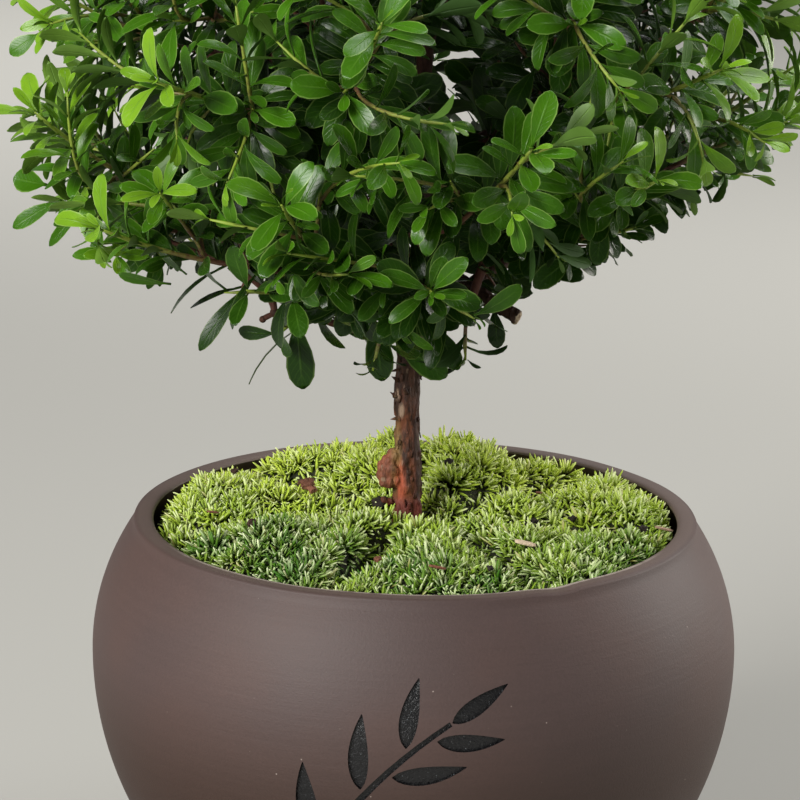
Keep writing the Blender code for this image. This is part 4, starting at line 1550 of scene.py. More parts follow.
    def cad_shoot(self, rng: random.Random, parent: int, spot: Vector, outward: Vector,
                  section: Section) -> tuple | None:
        """Grows one side shoot as the CAD source does: the shoot and its two sections."""
        s = self.shape
        foot = Section(spot, outward, section.way, section.half_side, s.band / 2)
        for attempt in range(s.tries):
            turn = rng.uniform(-0.5, 0.5) if attempt else 0.0
            way = (section.way * 0.75 + outward * 0.72 + foot.side * turn).normalized()
            end = spot + way * rng.uniform(*s.shoot_length)
            line = (spot, spot.lerp(end, 0.4) + outward * s.shoot_bow, end)
            half = (s.shoot_half, s.shoot_half * 0.85)
            parts = self.bands(line, section.way, (1.0,), half)
            tested = [foot] + parts
            if not self.taken.meets(*solid_of(tested, s.clearance), parent):
                number = self.taken.add(*solid_of(tested, 0.0))
                return Shoot(line, section.way, half, number, (0.0, 1.0)), parts
        return None

    def regrow(self, index: int, line: Line, hint: Vector) -> Spray | None:
        """Grows one leafy branch as the CAD source does, so that the two agree."""
        s = self.shape
        rng = random.Random(1000 + s.seed + index)
        tip = line[2]
        short = (tip - line[0]).length < s.short_twig
        shares = s.short_shares if short else s.pair_shares
        half = (s.twig_half, s.shoot_half)
        for attempt in range(s.twig_tries):
            grown = (line[0], line[1], tip)
            sections = self.bands(grown, hint, shares, half)
            if not self.taken.meets(*solid_of(sections, s.clearance), None):
                break
            sway = s.tip_sway * (1 + attempt / 4)
            tip = line[2] + Vector([rng.uniform(-sway, sway) for _ in range(3)])
        else:
            return None
        parent = self.taken.add(*solid_of(sections, 0.0))
        spray = Spray(f"leafy_branch_{index + 1:02d}")
        spray.shoots.append(Shoot(grown, hint, half, parent, (0.2, 1.0)))
        bands = list(zip(sections[::2], sections[1::2]))
        side_bands = []
        for wall in (Wall.SIDE, Wall.OTHER_SIDE):
            if not short:
                first, last = bands[s.shoot_pair]
                found = self.cad_shoot(rng, parent, *self.wall(first, last, wall), last)
                if found:
                    spray.shoots.append(found[0])
                side_bands.append(found)
        for number in reversed(range(len(bands))):
            last_band = number == len(bands) - 1
            splay = math.radians(s.tip_splay if last_band else rng.uniform(*s.twig_splay))
            size = rng.uniform(*s.twig_sizes) * (s.tip_size if last_band else 1.0)
            rows = s.full_rows if last_band else s.plain_rows
            self.cad_pair(spray, rng, parent, bands[number], PAIRS[number % 2], splay, size,
                          rows, shares[number])
        for shoot, parts in filter(None, side_bands):
            splay, size = math.radians(rng.uniform(*s.shoot_splay)), rng.uniform(*s.shoot_sizes)
            walls = rng.choice(PAIRS)
            self.cad_pair(spray, rng, shoot.number, parts, walls, splay, size, s.plain_rows, 0.9)
        return spray

    def cad_pair(self, spray: Spray, rng: random.Random, parent: int, band: Sequence[Section],
                 walls: Sequence[Wall], splay: float, size: float, rows: Sequence,
                 share: float) -> None:
        """Grows a pair of leaves on two walls of a band."""
        for wall in walls:
            spot, outward = self.wall(band[0], band[1], wall)
            leaf = self.cad_leaf(rng, parent, spot, outward, band[1], splay, size, rows)
            if leaf:
                leaf.age = share
                spray.leaves.append(leaf)

    def in_view(self, parts: Sequence[Section]) -> bool:
        """Whether the sections of a leaf or a shoot stay out of the strips kept clear."""
        rim = self.shape.rim_z
        return not any(
            view.blocks(part.middle, rim) for view in self.clear_views for part in parts[1:]
        )

    def extra_leaf(self, rng: random.Random, shoot: Shoot, share: float, wall: Wall,
                   splay: float, size: float) -> LeafPlace | None:
        """Grows one more leaf where the CAD has none, if it finds room."""
        s = self.shape
        section = shoot.section(share)
        outward = wall.outward(section)
        spot = section.middle + outward * section.half_side * 0.6
        foot = Section(spot, outward, section.way, s.shoot_half * 0.6, s.shoot_half * 0.6)
        slim = rng.uniform(*self.slim_range) * interpolate(self.slim_across, spot.x)
        for attempt in range(self.tries):
            wide = 0.20 + 0.09 * attempt
            turn = rng.uniform(-wide, wide)
            lean = splay + rng.uniform(-wide, wide) * 0.7
            way = section.way * math.cos(lean) + outward * math.sin(lean)
            way = (way + foot.side * turn).normalized()
            hint = (section.way + Vector((0, 0, s.leaf_light))).normalized()
            curl = rng.uniform(0.15, 1.0)
            sized = size * self.leaf_gain * (1 - 0.035 * attempt)
            parts = self.leaf_solid(
                spot, way, hint, sized, curl, s.plain_rows, self.slim_thick, slim
            )
            tip = parts[-1].middle
            inside = (tip - s.centre()).length < s.reach_towards(tip) + self.margin
            clear = inside and tip.z > min(spot.z - 0.002, s.floor_of_crown(tip) + 0.002)
            clear = clear and self.in_view(parts)
            tested = [foot] + parts[1:]
            if clear and not self.taken.meets(*solid_of(tested, self.slim_clearance), shoot.number):
                self.taken.add(*solid_of(tested, 0.0))
                age = shoot.age(share)
                return LeafPlace(parts[0], sized, curl, age, rng.random(),
                                 rng.uniform(0.06, 0.38), rng.uniform(-0.35, 0.35), slim)
        return None

    def clothe(self, spray: Spray, rng: random.Random, shoot: Shoot, first: int,
               shares: Sequence[float], splay: tuple, size: tuple) -> int:
        """Adds pairs of leaves at shares of a shoot, each square to the last.

        Args:
            spray: The leafy branch that they belong to.
            rng: The random numbers.
            shoot: What they grow on.
            first: Which walls the first pair uses, 0 or 1.
            shares: Where the pairs are.
            splay: How far they lean off the shoot at its start and at its end, in degrees.
            size: Their size there, next to the usual one.

        Returns:
            How many leaves grew.
        """
        count = 0
        for number, share in enumerate(shares):
            lean = math.radians(splay[0] + (splay[1] - splay[0]) * share)
            large = size[0] + (size[1] - size[0]) * share
            for wall in PAIRS[(first + number) % 2]:
                sized = large * rng.uniform(0.80, 1.16)
                leaf = self.extra_leaf(rng, shoot, share, wall, lean, sized)
                if leaf:
                    spray.leaves.append(leaf)
                    count += 1
        return count

    def bud(self, spray: Spray, rng: random.Random, shoot: Shoot) -> None:
        """The small new leaves at the end of a shoot."""
        ages = shoot.ages
        shoot.ages = (ages[0], 1.08)
        for pair in PAIRS:
            size = self.bud_size * rng.uniform(0.7, 1.25)
            for wall in pair:
                leaf = self.extra_leaf(rng, shoot, 0.995, wall, math.radians(17), size)
                if leaf:
                    leaf.slim = rng.uniform(0.62, 0.8)
                    spray.leaves.append(leaf)
        shoot.ages = ages

    def side_shoot(self, spray: Spray, rng: random.Random, parent: Shoot, share: float,
                   wall: Wall, long: float) -> Shoot | None:
        """Grows one more side shoot with its leaves, if it finds room."""
        s = self.shape
        section = parent.section(share)
        outward = wall.outward(section)
        spot = section.middle + outward * section.half_side * 0.5
        for attempt in range(self.tries):
            wide = 0.25 + 0.1 * attempt
            across = section.way.cross(outward) * rng.uniform(-wide, wide)
            way = (section.way * 0.75 + outward * 0.72 + across).normalized()
            length = long * rng.uniform(0.8, 1.0)
            end = spot + way * length + Vector((0, 0, 0.28 * length))
            line = (spot, spot.lerp(end, 0.45) + outward * 0.0012, end)
            inside = (end - s.centre()).length < s.reach_towards(end) - 0.003
            half = (0.00062, 0.00048)
            shoot = Shoot(line, section.way, half, None, (0.0, 0.0))
            tested = [shoot.section(place) for place in (0.0, 0.5, 1.0)]
            above = end.z > s.floor_of_crown(end) + 0.004
            if not (inside and above and self.in_view(tested)):
                continue
            if not self.taken.meets(*solid_of(tested, self.slim_clearance), parent.number):
                shoot.number = self.taken.add(*solid_of(tested, 0.0))
                outer = (end - s.centre()).length / s.reach_towards(end)
                low = parent.age(share) * 0.7
                young = max(low, 0.15 + 0.85 * max(0.0, outer - 0.45) / 0.5)
                shoot.ages = (low, min(1.0, young + rng.uniform(-0.15, 0.1)))
                spray.shoots.append(shoot)
                return shoot
        return None

    def fill(self, spray: Spray, index: int) -> None:
        """Adds the leaves and shoots between those of the CAD."""
        rng = random.Random(7000 + index)
        s = self.shape
        twig = spray.shoots[0]
        outer = (twig.line[2] - s.centre()).length / s.reach_towards(twig.line[2])
        twig.ages = (0.10 + 0.15 * outer, 0.55 + 0.4 * outer * rng.uniform(0.6, 1.0))
        for leaf in spray.leaves:
            leaf.age = twig.age(leaf.age) + rng.uniform(-0.08, 0.08)
            leaf.luck = rng.random()
            leaf.fold, leaf.twist = rng.uniform(0.08, 0.30), rng.uniform(-0.15, 0.15)
            leaf.slim = rng.uniform(0.74, 0.94)
            leaf.size *= self.cad_leaf_scale
        for shoot in spray.shoots[1:]:
            shoot.ages = (twig.age(0.35), twig.age(0.95))
        self.bud(spray, rng, twig)
        cad_shares = s.pair_shares if twig.length() > s.short_twig else s.short_shares
        new_shoots = []
        for number, (low, high) in enumerate(zip(cad_shares, cad_shares[1:])):
            gaps = max(2, round((high - low) * twig.length() / self.node_gap))
            gaps += 1 - gaps % 2
            between = [low + (high - low) * (k + 1) / gaps for k in range(gaps - 1)]
            self.clothe(spray, rng, twig, (number + 1) % 2, between, (62, 44), (0.88, 0.70))
            for share in between:
                if rng.random() < self.side_shoot_chance:
                    long = rng.uniform(*self.side_shoot_lengths)
                    wall = rng.choice(WALLS)
                    new_shoots.append(self.side_shoot(spray, rng, twig, share, wall, long))
        for shoot in spray.shoots[1:3]:
            self.dress_shoot(spray, rng, shoot, (0.30, 0.58))
        for shoot in filter(None, new_shoots):
            self.dress_shoot(spray, rng, shoot, None)

    def dress_shoot(self, spray: Spray, rng: random.Random, shoot: Shoot,
                    shares: Sequence[float] | None) -> None:
        """Covers a side shoot with leaves, from its tip down."""
        self.bud(spray, rng, shoot)
        if shares is None:
            count = max(2, round(shoot.length() / self.node_gap))
            shares = [(k + 0.9) / (count + 0.2) for k in range(count)]
        self.clothe(spray, rng, shoot, rng.randrange(2), shares, (56, 32), (0.84, 0.58))

    def fill_stub(self, spray: Spray, index: int) -> None:
        """Adds old leaves and short shoots along the stub that carries a twig."""
        rng = random.Random(9000 + index)
        root, joint = self.stubs[index]
        line = (root, (root + joint) / 2, joint)
        stub = Shoot(line, square_ways((joint - root).normalized())[0],
                     (self.shape.stub_root_r, self.shape.stub_r), 0, (0.0, 0.22))
        count = max(2, round(stub.length() / self.inner_gap))
        for number in range(count):
            share = (number + 0.7) / count
            if stub.length() * share < 0.006:
                continue
            wall = rng.choice(WALLS)
            long = rng.uniform(0.009, 0.018)
            shoot = self.side_shoot(spray, rng, stub, share, wall, long)
            if shoot:
                shoot.ages = (0.05, rng.uniform(0.15, 0.45))
                shares = [0.36, 0.68, 1.0]
                self.clothe(spray, rng, shoot, rng.randrange(2), shares, (60, 36), (0.98, 0.86))
            self.clothe(spray, rng, stub, number % 2, [share], (66, 58), (0.98, 0.94))

    def fill_gaps(self, sprays: list[Spray]) -> int:
        """Grows shoots up to the crown's edge where no leafy branch of the CAD reaches.

        Args:
            sprays: The leafy branches, which the new shoots spring from.

        Returns:
            How many shoots grew.
        """
        s = self.shape
        rng = random.Random(self.gap_seed)
        ends = [shoot.line[2] for spray in sprays for shoot in spray.shoots]
        springs = []
        for spray in sprays:
            for shoot in spray.shoots:
                count = max(2, round(shoot.length() / 0.006))
                springs += [(spray, shoot, k / count) for k in range(count)]
        grown = 0
        layers = [(depth, targets, clear, number) for depth, targets, clear in self.gap_layers
                  for number in range(targets)]
        for depth, targets, clear, number in layers:
            height = 1.0 - (1.0 - self.gap_lowest) * (number + 0.5) / targets
            angle, turn = math.degrees(math.acos(height)), number * s.golden_turn + 0.7
            reach = (s.reach_at(angle, turn) - self.gap_margin) * depth - rng.uniform(0.0, 0.006)
            target = s.centre() + direction(angle, turn) * reach
            target.z = max(target.z, s.floor_of_crown(target) + self.gap_rise)
            if min((end - target).length for end in ends) < clear:
                continue
            choices = []
            for spray, shoot, share in springs:
                start = along(shoot.line, share)
                away = target - start
                if not self.gap_lengths[0] < away.length < self.gap_lengths[1]:
                    continue
                lean = away.angle(heading(shoot.line, share))
                if lean < self.gap_lean:
                    choices.append((away.length * (1 + lean), len(choices), spray, shoot, share))
            choices.sort()
            for _, _, spray, parent, share in choices[:self.gap_tries]:
                shoot = self.reach_out(rng, parent, share, target)
                if shoot:
                    spray.shoots.append(shoot)
                    ends.append(shoot.line[2])
                    self.dress_shoot(spray, rng, shoot, None)
                    grown += 1
                    break
        return grown

    def reach_out(self, rng: random.Random, parent: Shoot, share: float,
                  target: Vector) -> Shoot | None:
        """A long shoot from a place on its parent to a target, if the way is free."""
        s = self.shape
        start = along(parent.line, share)
        for attempt in range(3):
            sway = 0.002 + 0.003 * attempt
            end = target + Vector([rng.uniform(-sway, sway) for _ in range(3)])
            ahead = heading(parent.line, share) * (end - start).length * 0.35
            droop = Vector((0, 0, 0.08 * (end - start).length))
            line = (start, start + ahead + (end - start) * 0.15 - droop, end)
            half = (0.00075, 0.0005)
            shoot = Shoot(line, square_ways(heading(line, 0.5))[0], half, None, (0.0, 0.0))
            parts = [shoot.section(place) for place in (0.04, 0.3, 0.55, 0.8, 1.0)]
            solids = [solid_of(pair, self.slim_clearance) for pair in zip(parts, parts[1:])]
            if any(self.taken.meets(*solid, parent.number) for solid in solids):
                continue
            if not self.in_view(parts):
                continue
            shoot.number = self.taken.add(*solid_of(parts, 0.0))
            low = parent.age(share) * 0.7
            shoot.ages = (low, max(low, rng.uniform(0.75, 1.0)))
            return shoot
        return None

    def grow(self) -> None:
        """Grows the whole crown."""
        twigs = self.plan()
        wood = frame["nodes"]["trunk_and_limbs"].data
        points = [corner.co.copy() for corner in wood.vertices]
        self.taken.add(points, [list(face.vertices) for face in wood.polygons])
        found = {}
        for index, (line, hint) in enumerate(twigs):
            found[index] = self.regrow(index, line, hint)
        self.check(found)
        lone = self.hang_leaves([spray for spray in found.values() if spray])
        for index, spray in found.items():
            if spray:
                self.fill(spray, index)
        for index, spray in found.items():
            if spray:
                self.fill_stub(spray, index)
        self.sprays = [spray for spray in found.values() if spray]
        log.info("crown: %d shoots fill its gaps", self.fill_gaps(self.sprays))
        self.shade_ages()
        for spray, leaf in lone:
            spray.leaves.append(leaf)
        for spray in self.sprays:
            rim_z = self.shape.rim_z
            spray.shoots = [shoot for shoot in spray.shoots
                            if not self.bare_view.blocks(shoot.line[2], rim_z)]
            spray.leaves = [leaf for leaf in spray.leaves
                            if not self.bare_view.blocks(leaf.neck.middle, rim_z)]
        for lone_leaf in (*self.inner_leaves, *self.edge_leaves):
            leaf = lone_leaf.place(self.shape)
            self.nearest(self.sprays, leaf.neck.middle).leaves.append(leaf)
        total = sum(len(spray.leaves) for spray in self.sprays)
        log.info("crown: %d leafy branches, %d leaves", len(self.sprays), total)

    def hang_leaves(self, sprays: list[Spray]) -> list[tuple[Spray, LeafPlace]]:
        """The leaves that hang on their own, each with the leafy branch nearest to it."""
        s = self.shape
        placed = []
        for lone in self.lone_leaves:
            leaf = lone.place(s)
            neck = leaf.neck
            parts = self.leaf_solid(neck.middle, neck.way, neck.up, leaf.size, leaf.curl,
                                    s.plain_rows, self.slim_thick, leaf.slim)
            self.taken.add(*solid_of(parts, 0.0))
            placed.append((self.nearest(sprays, neck.middle), leaf))
        return placed

    def nearest(self, sprays: list[Spray], spot: Vector) -> Spray:
        """The leafy branch with the shoot that starts nearest to a spot."""
        return min(sprays, key=lambda spray: min(
            (shoot.line[0] - spot).length for shoot in spray.shoots))

    def shade_ages(self) -> None:
        """Makes the leaves deep in the crown and under it older and so darker, as painted shade, and those
        at the sides across the view younger and so lighter, as painted light.
        """
        s = self.shape
        for spray in self.sprays:
            for leaf in spray.leaves:
                spot = leaf.neck.middle
                outer = (spot - s.centre()).length / s.reach_towards(spot)
                low = interpolate(self.low_painted_shade, spot.z - s.floor_of_crown(spot))
                rim = interpolate(self.rim_share, math.hypot(spot.x, spot.y))
                side = interpolate(self.side_painted_light, abs(spot.x))
                # Painted shade and light: the age is scaled down deep and low in the crown and in the
                # middle of the view, and up at its sides.
                fade = interpolate(self.deep_painted_shade, outer) * (low + (1 - low) * rim)
                leaf.age = min(1.0, leaf.age * fade * side)

    def check(self, found: dict) -> None:
        """Logs how far the twigs and leaves that were grown again stray from the CAD."""
        worst = 0.0
        for spray in filter(None, found.values()):
            low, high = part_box(spray.node)
            for leaf in spray.leaves:
                spot = leaf.neck.middle
                for axis in range(3):
                    worst = max(worst, low[axis] - spot[axis], spot[axis] - high[axis])
        count = sum(len(spray.leaves) for spray in found.values() if spray)
        log.info("regrown: %d leaves, at most %.2f mm outside their nodes", count, worst * 1000)


@dataclass
class LeafMaker:
    """Turns places of leaves into closed, bent blades."""

    shape: TreeShape = TreeShape()
    half_thick: float = 0.00016
    rows: tuple = (
        (0.0, 0.12), (0.12, 0.16), (0.30, 0.56), (0.49, 0.88), (0.67, 1.0), (0.83, 0.87),
        (0.945, 0.50), (1.0, 0.12),
    )
    petiole_rows: int = 2
    petiole_thick: float = 2.4

    def stamp(self) -> Stamp:
        """The flat leaf: rings of four points through its rows, with its UV map."""
        across = (-1.0, 0.0, 1.0, 0.0)
        lifts = (0.0, 1.0, 0.0, -1.0)
        rings = []
        for number, (share, width) in enumerate(self.rows):
            thick = self.half_thick
            if number < self.petiole_rows:
                thick *= self.petiole_thick
            rings.append([Vector((u * width, share, lift * thick)) for u, lift in zip(across, lifts)])
        bm = bmesh.new()
        faces = loft(bm, rings)
        if bm.calc_volume(signed=True) < 0:
            bmesh.ops.reverse_faces(bm, faces=bm.faces)
        bm.normal_update()
        blade = bm.loops.layers.uv.new("blade")
        slot = bm.verts.layers.int.get("slot")
        for face in faces:
            under = any(corner[slot] == 3 for corner in face.verts)
            face.material_index = 1 if under else 0
            for loop in face.loops:
                width = interpolate(self.rows, loop.vert.co.y)
                loop[blade].uv = (0.5 + 0.5 * loop.vert.co.x / width, loop.vert.co.y)
        for edge in bm.edges:
            margin = all(corner[slot] in (0, 2) for corner in edge.verts)
            same = edge.verts[0][slot] == edge.verts[1][slot]
            edge.smooth = not (margin and same)
        bm.verts.layers.int.remove(slot)
        return Stamp("leaf", bm, ("age", "luck"))

    def bend(self, rest: np.ndarray, leaf: LeafPlace) -> np.ndarray:
        """Where a leaf's corners go: curled back, folded along its midrib and twisted."""
        length = self.shape.leaf_length * leaf.size
        neck = leaf.neck
        side, up, way = (np.array(v) for v in (neck.side, neck.up, neck.way))
        share = rest[:, 1]
        curl = max(leaf.curl, 0.01)
        angle = curl * share
        forward = length * np.sin(angle) / curl
        down = length * (1 - np.cos(angle)) / curl
        place = np.array(neck.middle) + np.outer(forward, way) - np.outer(down, up)
        normal = np.outer(np.cos(angle), up) + np.outer(np.sin(angle), way)
        turn = leaf.twist * share
        cos, sin = np.cos(turn)[:, None], np.sin(turn)[:, None]
        over = normal * cos - side * sin
        out = side * cos + normal * sin
        half = self.shape.leaf_half_width * leaf.size * leaf.slim
        wide = rest[:, 0] * half
        grow = min(1.0, 0.35 + leaf.size * 0.65)
        lift = np.abs(wide) * math.sin(leaf.fold) + rest[:, 2] * grow
        return place + out * (wide * math.cos(leaf.fold))[:, None] + over * lift[:, None]


@dataclass
class Foliage:
    """The leafy branches as pieces, one for each CAD node."""

    crown: Crown
    maker: LeafMaker = field(default_factory=LeafMaker)
    stem_sides: int = 6
    stem_sink: float = 0.0012

    def stem(self, bm: bmesh.types.BMesh, shoot: Shoot, thick: float) -> None:
        """Adds a shoot's stem, a little swollen at its joints, and sunk at its foot."""
        age = bm.verts.layers.float.get("age")
        count = max(4, round(shoot.length() / 0.0045) + 1)
        shares = steps(0.0, 1.0, count)
        points = [along(shoot.line, share) for share in shares]
        points[0] = points[0] - heading(shoot.line, 0.0) * self.stem_sink
        radii = []
        first, last = self.crown.stem_half
        for number, share in enumerate(shares):
            half = first + (last - first) * share
            radii.append(half * thick * (1.14 if number % 2 else 0.90))
        radii[-1] *= 0.5
        rings = rings_along(points, radii, self.stem_sides)
        faces = loft(bm, rings)
        for face in faces:
            face.material_index = 2
            for corner in face.verts:
                away = (corner.co - shoot.line[0]).length / max(shoot.length(), 1e-6)
                corner[age] = shoot.age(min(1.0, away))

    def build(self) -> list[bpy.types.Object]:
        """Makes every leafy branch."""
        finishes = [f.make() for f in (LeafFinish(), LeafUndersideFinish(), ShootFinish())]
        stamp = self.maker.stamp()
        made = []
        for spray in self.crown.sprays:
            bm = bmesh.new()
            bm.loops.layers.uv.new("blade")
            bm.verts.layers.float.new("age")
            bm.verts.layers.float.new("luck")
            for leaf in spray.leaves:
                places = self.maker.bend(stamp.rest, leaf)
                stamp.press(bm, places, age=leaf.age, luck=leaf.luck)
            for number, shoot in enumerate(spray.shoots):
                self.stem(bm, shoot, 1.15 if number == 0 else 0.85)
            piece = add_object(f"spray_{spray.node[-2:]}", mesh_from(f"spray_{spray.node[-2:]}", bm))
            for finish in finishes:
                piece.data.materials.append(finish)
            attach(piece, "root")
            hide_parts(spray.node)
            made.append(piece)
        bpy.data.meshes.remove(stamp.mesh)
        return made


@dataclass
class Wood:
    """The trunk, its burl, its pruned stub, its limbs and the stubs that carry twigs."""

    crown: Crown
    voxel: float = 0.00042
    trunk_scale: float = 0.91
    flake_depth: float = 0.00052
    smooth_turns: int = 5
    root_count: int = 4
    lumps: tuple = (
        ((-0.0062, -0.0026, 0.1338), 0.0018), ((-0.0074, -0.0028, 0.1320), 0.0021),
        ((-0.0086, -0.0030, 0.1301), 0.0023), ((-0.0091, -0.0034, 0.1280), 0.0021),
        ((-0.0070, -0.0030, 0.1296), 0.0028), ((-0.0074, -0.0034, 0.1266), 0.0023),
        ((-0.0090, -0.0040, 0.1262), 0.0014), ((-0.0060, -0.0030, 0.1264), 0.0022),
        ((-0.0086, -0.0046, 0.1213), 0.0010), ((-0.0073, -0.0038, 0.1204), 0.0012),
    )
    thorns: tuple = (
        ((-0.0050, -0.0018, 0.1440), (-0.0074, -0.0020, 0.1436), 0.0006),
        ((-0.0056, -0.0018, 0.1500), (-0.0076, -0.0022, 0.1516), 0.0006),
        ((-0.0052, -0.0022, 0.1548), (-0.0072, -0.0030, 0.1562), 0.0007),
        ((-0.0050, -0.0022, 0.1580), (-0.0078, -0.0030, 0.1574), 0.0005),
        ((-0.0048, -0.0022, 0.1600), (-0.0062, -0.0030, 0.1650), 0.0005),
        ((0.0008, -0.0020, 0.1560), (0.0026, -0.0024, 0.1572), 0.0004),
        ((0.0006, -0.0016, 0.1330), (0.0020, -0.0018, 0.1336), 0.0004),
    )
    chips: int = 60
    chip_heights: tuple = (0.119, 0.172)
    chip_size: tuple = (0.0011, 0.0005, 0.0022)
    chip_seed: int = 5
    twigs: tuple = (
        (((-0.0055, -0.0020, 0.1690), (-0.0155, -0.0080, 0.1695), (-0.0265, -0.0130, 0.1745),
          (-0.0340, -0.0140, 0.1765), (-0.0392, -0.0145, 0.1762), (-0.0421, -0.0150, 0.1747)),
         (0.0011, 0.0007)),
        (((-0.0388, -0.0145, 0.1762), (-0.0397, -0.0150, 0.1810), (-0.0450, -0.0165, 0.1862),
          (-0.0492, -0.0180, 0.1902), (-0.0549, -0.0190, 0.1918), (-0.0619, -0.0200, 0.1950),
          (-0.0690, -0.0210, 0.1980)), (0.0011, 0.0006)),
        (((-0.0455, -0.0168, 0.1868), (-0.0472, -0.0160, 0.1845), (-0.0476, -0.0150, 0.1832)),
         (0.0006, 0.0004)),
    )
    knobs: tuple = (((-0.0421, -0.0150, 0.1746), 0.0010), ((-0.0389, -0.0146, 0.1764), 0.0014))

    def curve(self, line: Sequence, count: int) -> tuple[list[Vector], list[float]]:
        """A smooth line of points with radii through a few given ones."""
        table = [(i, Vector(point)) for i, (point, _) in enumerate(line)]
        sizes = [(i, radius) for i, (_, radius) in enumerate(line)]
        shares = steps(0.0, len(line) - 1, count)
        points = [interpolate(table, share) for share in shares]
        radii = [interpolate(sizes, share) for share in shares]
        for _ in range(3):
            points[1:-1] = [(a + b * 2 + c) / 4 for a, b, c in zip(points, points[1:], points[2:])]
        return points, radii

    def core(self) -> bpy.types.Mesh:
        """The trunk with its burl, pruned stub and root flare as one skin with flaky bark."""
        s = self.crown.shape
        bm = bmesh.new()
        points, radii = self.curve(s.trunk, 60)
        radii = [r * self.trunk_scale * (1 + 0.07 * noise.noise(p * 120.0)) for p, r in zip(points, radii)]
        loft(bm, rings_along(points, radii, 24))
        loft(bm, rings_along(*self.curve(s.pruned, 14), 12))
        for point, radius in self.lumps:
            ball = bmesh.ops.create_icosphere(bm, subdivisions=3, radius=radius)["verts"]
            bmesh.ops.translate(bm, verts=ball, vec=Vector(point))
        for number in range(self.root_count):
            turn = 0.9 + number * 2 * math.pi / self.root_count
            way = Vector((math.cos(turn), math.sin(turn), 0))
            foot = Vector((s.stem_x, s.stem_y, 0.1165))
            line = [foot + Vector((0, 0, 0.007)) + way * 0.0020, foot + way * 0.0038]
            loft(bm, rings_along([line[0], (line[0] + line[1]) / 2, line[1] - Vector((0, 0, 0.004))],
                                 [0.0012, 0.0016, 0.0013], 8))
        body = add_object("wood_core", mesh_from("wood_core", bm))
        skin = body.modifiers.new("skin", "REMESH")
        skin.mode = "VOXEL"
        skin.voxel_size = self.voxel
        smooth = body.modifiers.new("smooth", "SMOOTH")
        smooth.iterations = self.smooth_turns
        mesh = evaluated(body)
        bpy.data.objects.remove(body, do_unlink=True)
        self.flake(mesh)
        return mesh

    def flake(self, mesh: bpy.types.Mesh) -> None:
        """Raises and sinks the bark in long flakes and fine ridges."""
        for corner, normal in zip(mesh.vertices, [n.vector.copy() for n in mesh.vertex_normals]):
            spot = corner.co
            tall = Vector((spot.x, spot.y, spot.z * 0.32))
            flakes = noise.noise(tall * 620.0)
            ridges = noise.noise(tall * 1500.0 + Vector((3, 1, 8)))
            lumps = noise.noise(spot * 210.0)
            step = 1.0 if flakes > 0.08 else 0.0
            lift = 0.55 * step + 0.35 * flakes + 0.25 * ridges + 0.5 * lumps - 0.3
            corner.co = spot + normal * self.flake_depth * lift

    def chip_bark(self, bm: bmesh.types.BMesh) -> None:
        """Adds loose chips of bark that peel off the trunk."""
        s = self.crown.shape
        rng = random.Random(self.chip_seed)
        block = bmesh.new()
        bmesh.ops.create_cube(block, size=1.0)
        bmesh.ops.bevel(block, geom=block.edges[:], offset=0.22, segments=1, profile=0.5,
                        affect="EDGES", material=-1)
        stamp = Stamp("chip", block, ())
        table = [(point[2], radius) for point, radius in s.trunk]
        for _ in range(self.chips):
            height, turn = rng.uniform(*self.chip_heights), rng.uniform(0, 2 * math.pi)
            out = Vector((math.cos(turn), math.sin(turn), 0))
            radius = interpolate(table, height) * self.trunk_scale
            centre = s.trunk_at(height - s.rim_z) + out * (radius + 0.0001)
            sizes = np.array([size * rng.uniform(0.5, 1.2) for size in self.chip_size])
            lean = Matrix.Rotation(turn + math.pi / 2, 3, "Z") @ Matrix.Rotation(
                rng.uniform(-0.45, 0.25), 3, "X") @ Matrix.Rotation(rng.uniform(-0.4, 0.4), 3, "Y")
            stamp.press(bm, (stamp.rest * sizes) @ np.array(lean).T + np.array(centre))
        bpy.data.meshes.remove(stamp.mesh)

    def twig(self, bm: bmesh.types.BMesh, line: Sequence, radii: tuple) -> None:
        """Adds a bare crooked twig through given points."""
        layer = bm.verts.layers.float.get("age")
        points, sizes = self.curve([(point, 0.0) for point in line], 4 * len(line))
        sizes = [r * (1 + 0.22 * noise.noise(p * 420.0))
                 for p, r in zip(points, steps(*radii, len(points)))]
        for face in loft(bm, rings_along(points, sizes, 8)):
            for corner in face.verts:
                corner[layer] = 0.6

    def branch(self, bm: bmesh.types.BMesh, line: Line, radii: tuple, sides: int, age: float) -> None:
        """Adds a limb or a stub as a tube with uneven bark."""
        layer = bm.verts.layers.float.get("age")
        count = max(4, round((line[2] - line[0]).length / 0.004))
        points = [along(line, share) for share in steps(0.0, 1.0, count)]
        points = [p + Vector(noise.noise_vector(p * 90.0)) * 0.0007 for p in points]
        sizes = [r * (1 + 0.16 * noise.noise(p * 300.0))
                 for p, r in zip(points, steps(*radii, count))]
        for face in loft(bm, rings_along(points, sizes, sides)):
            for corner in face.verts:
                corner[layer] = age

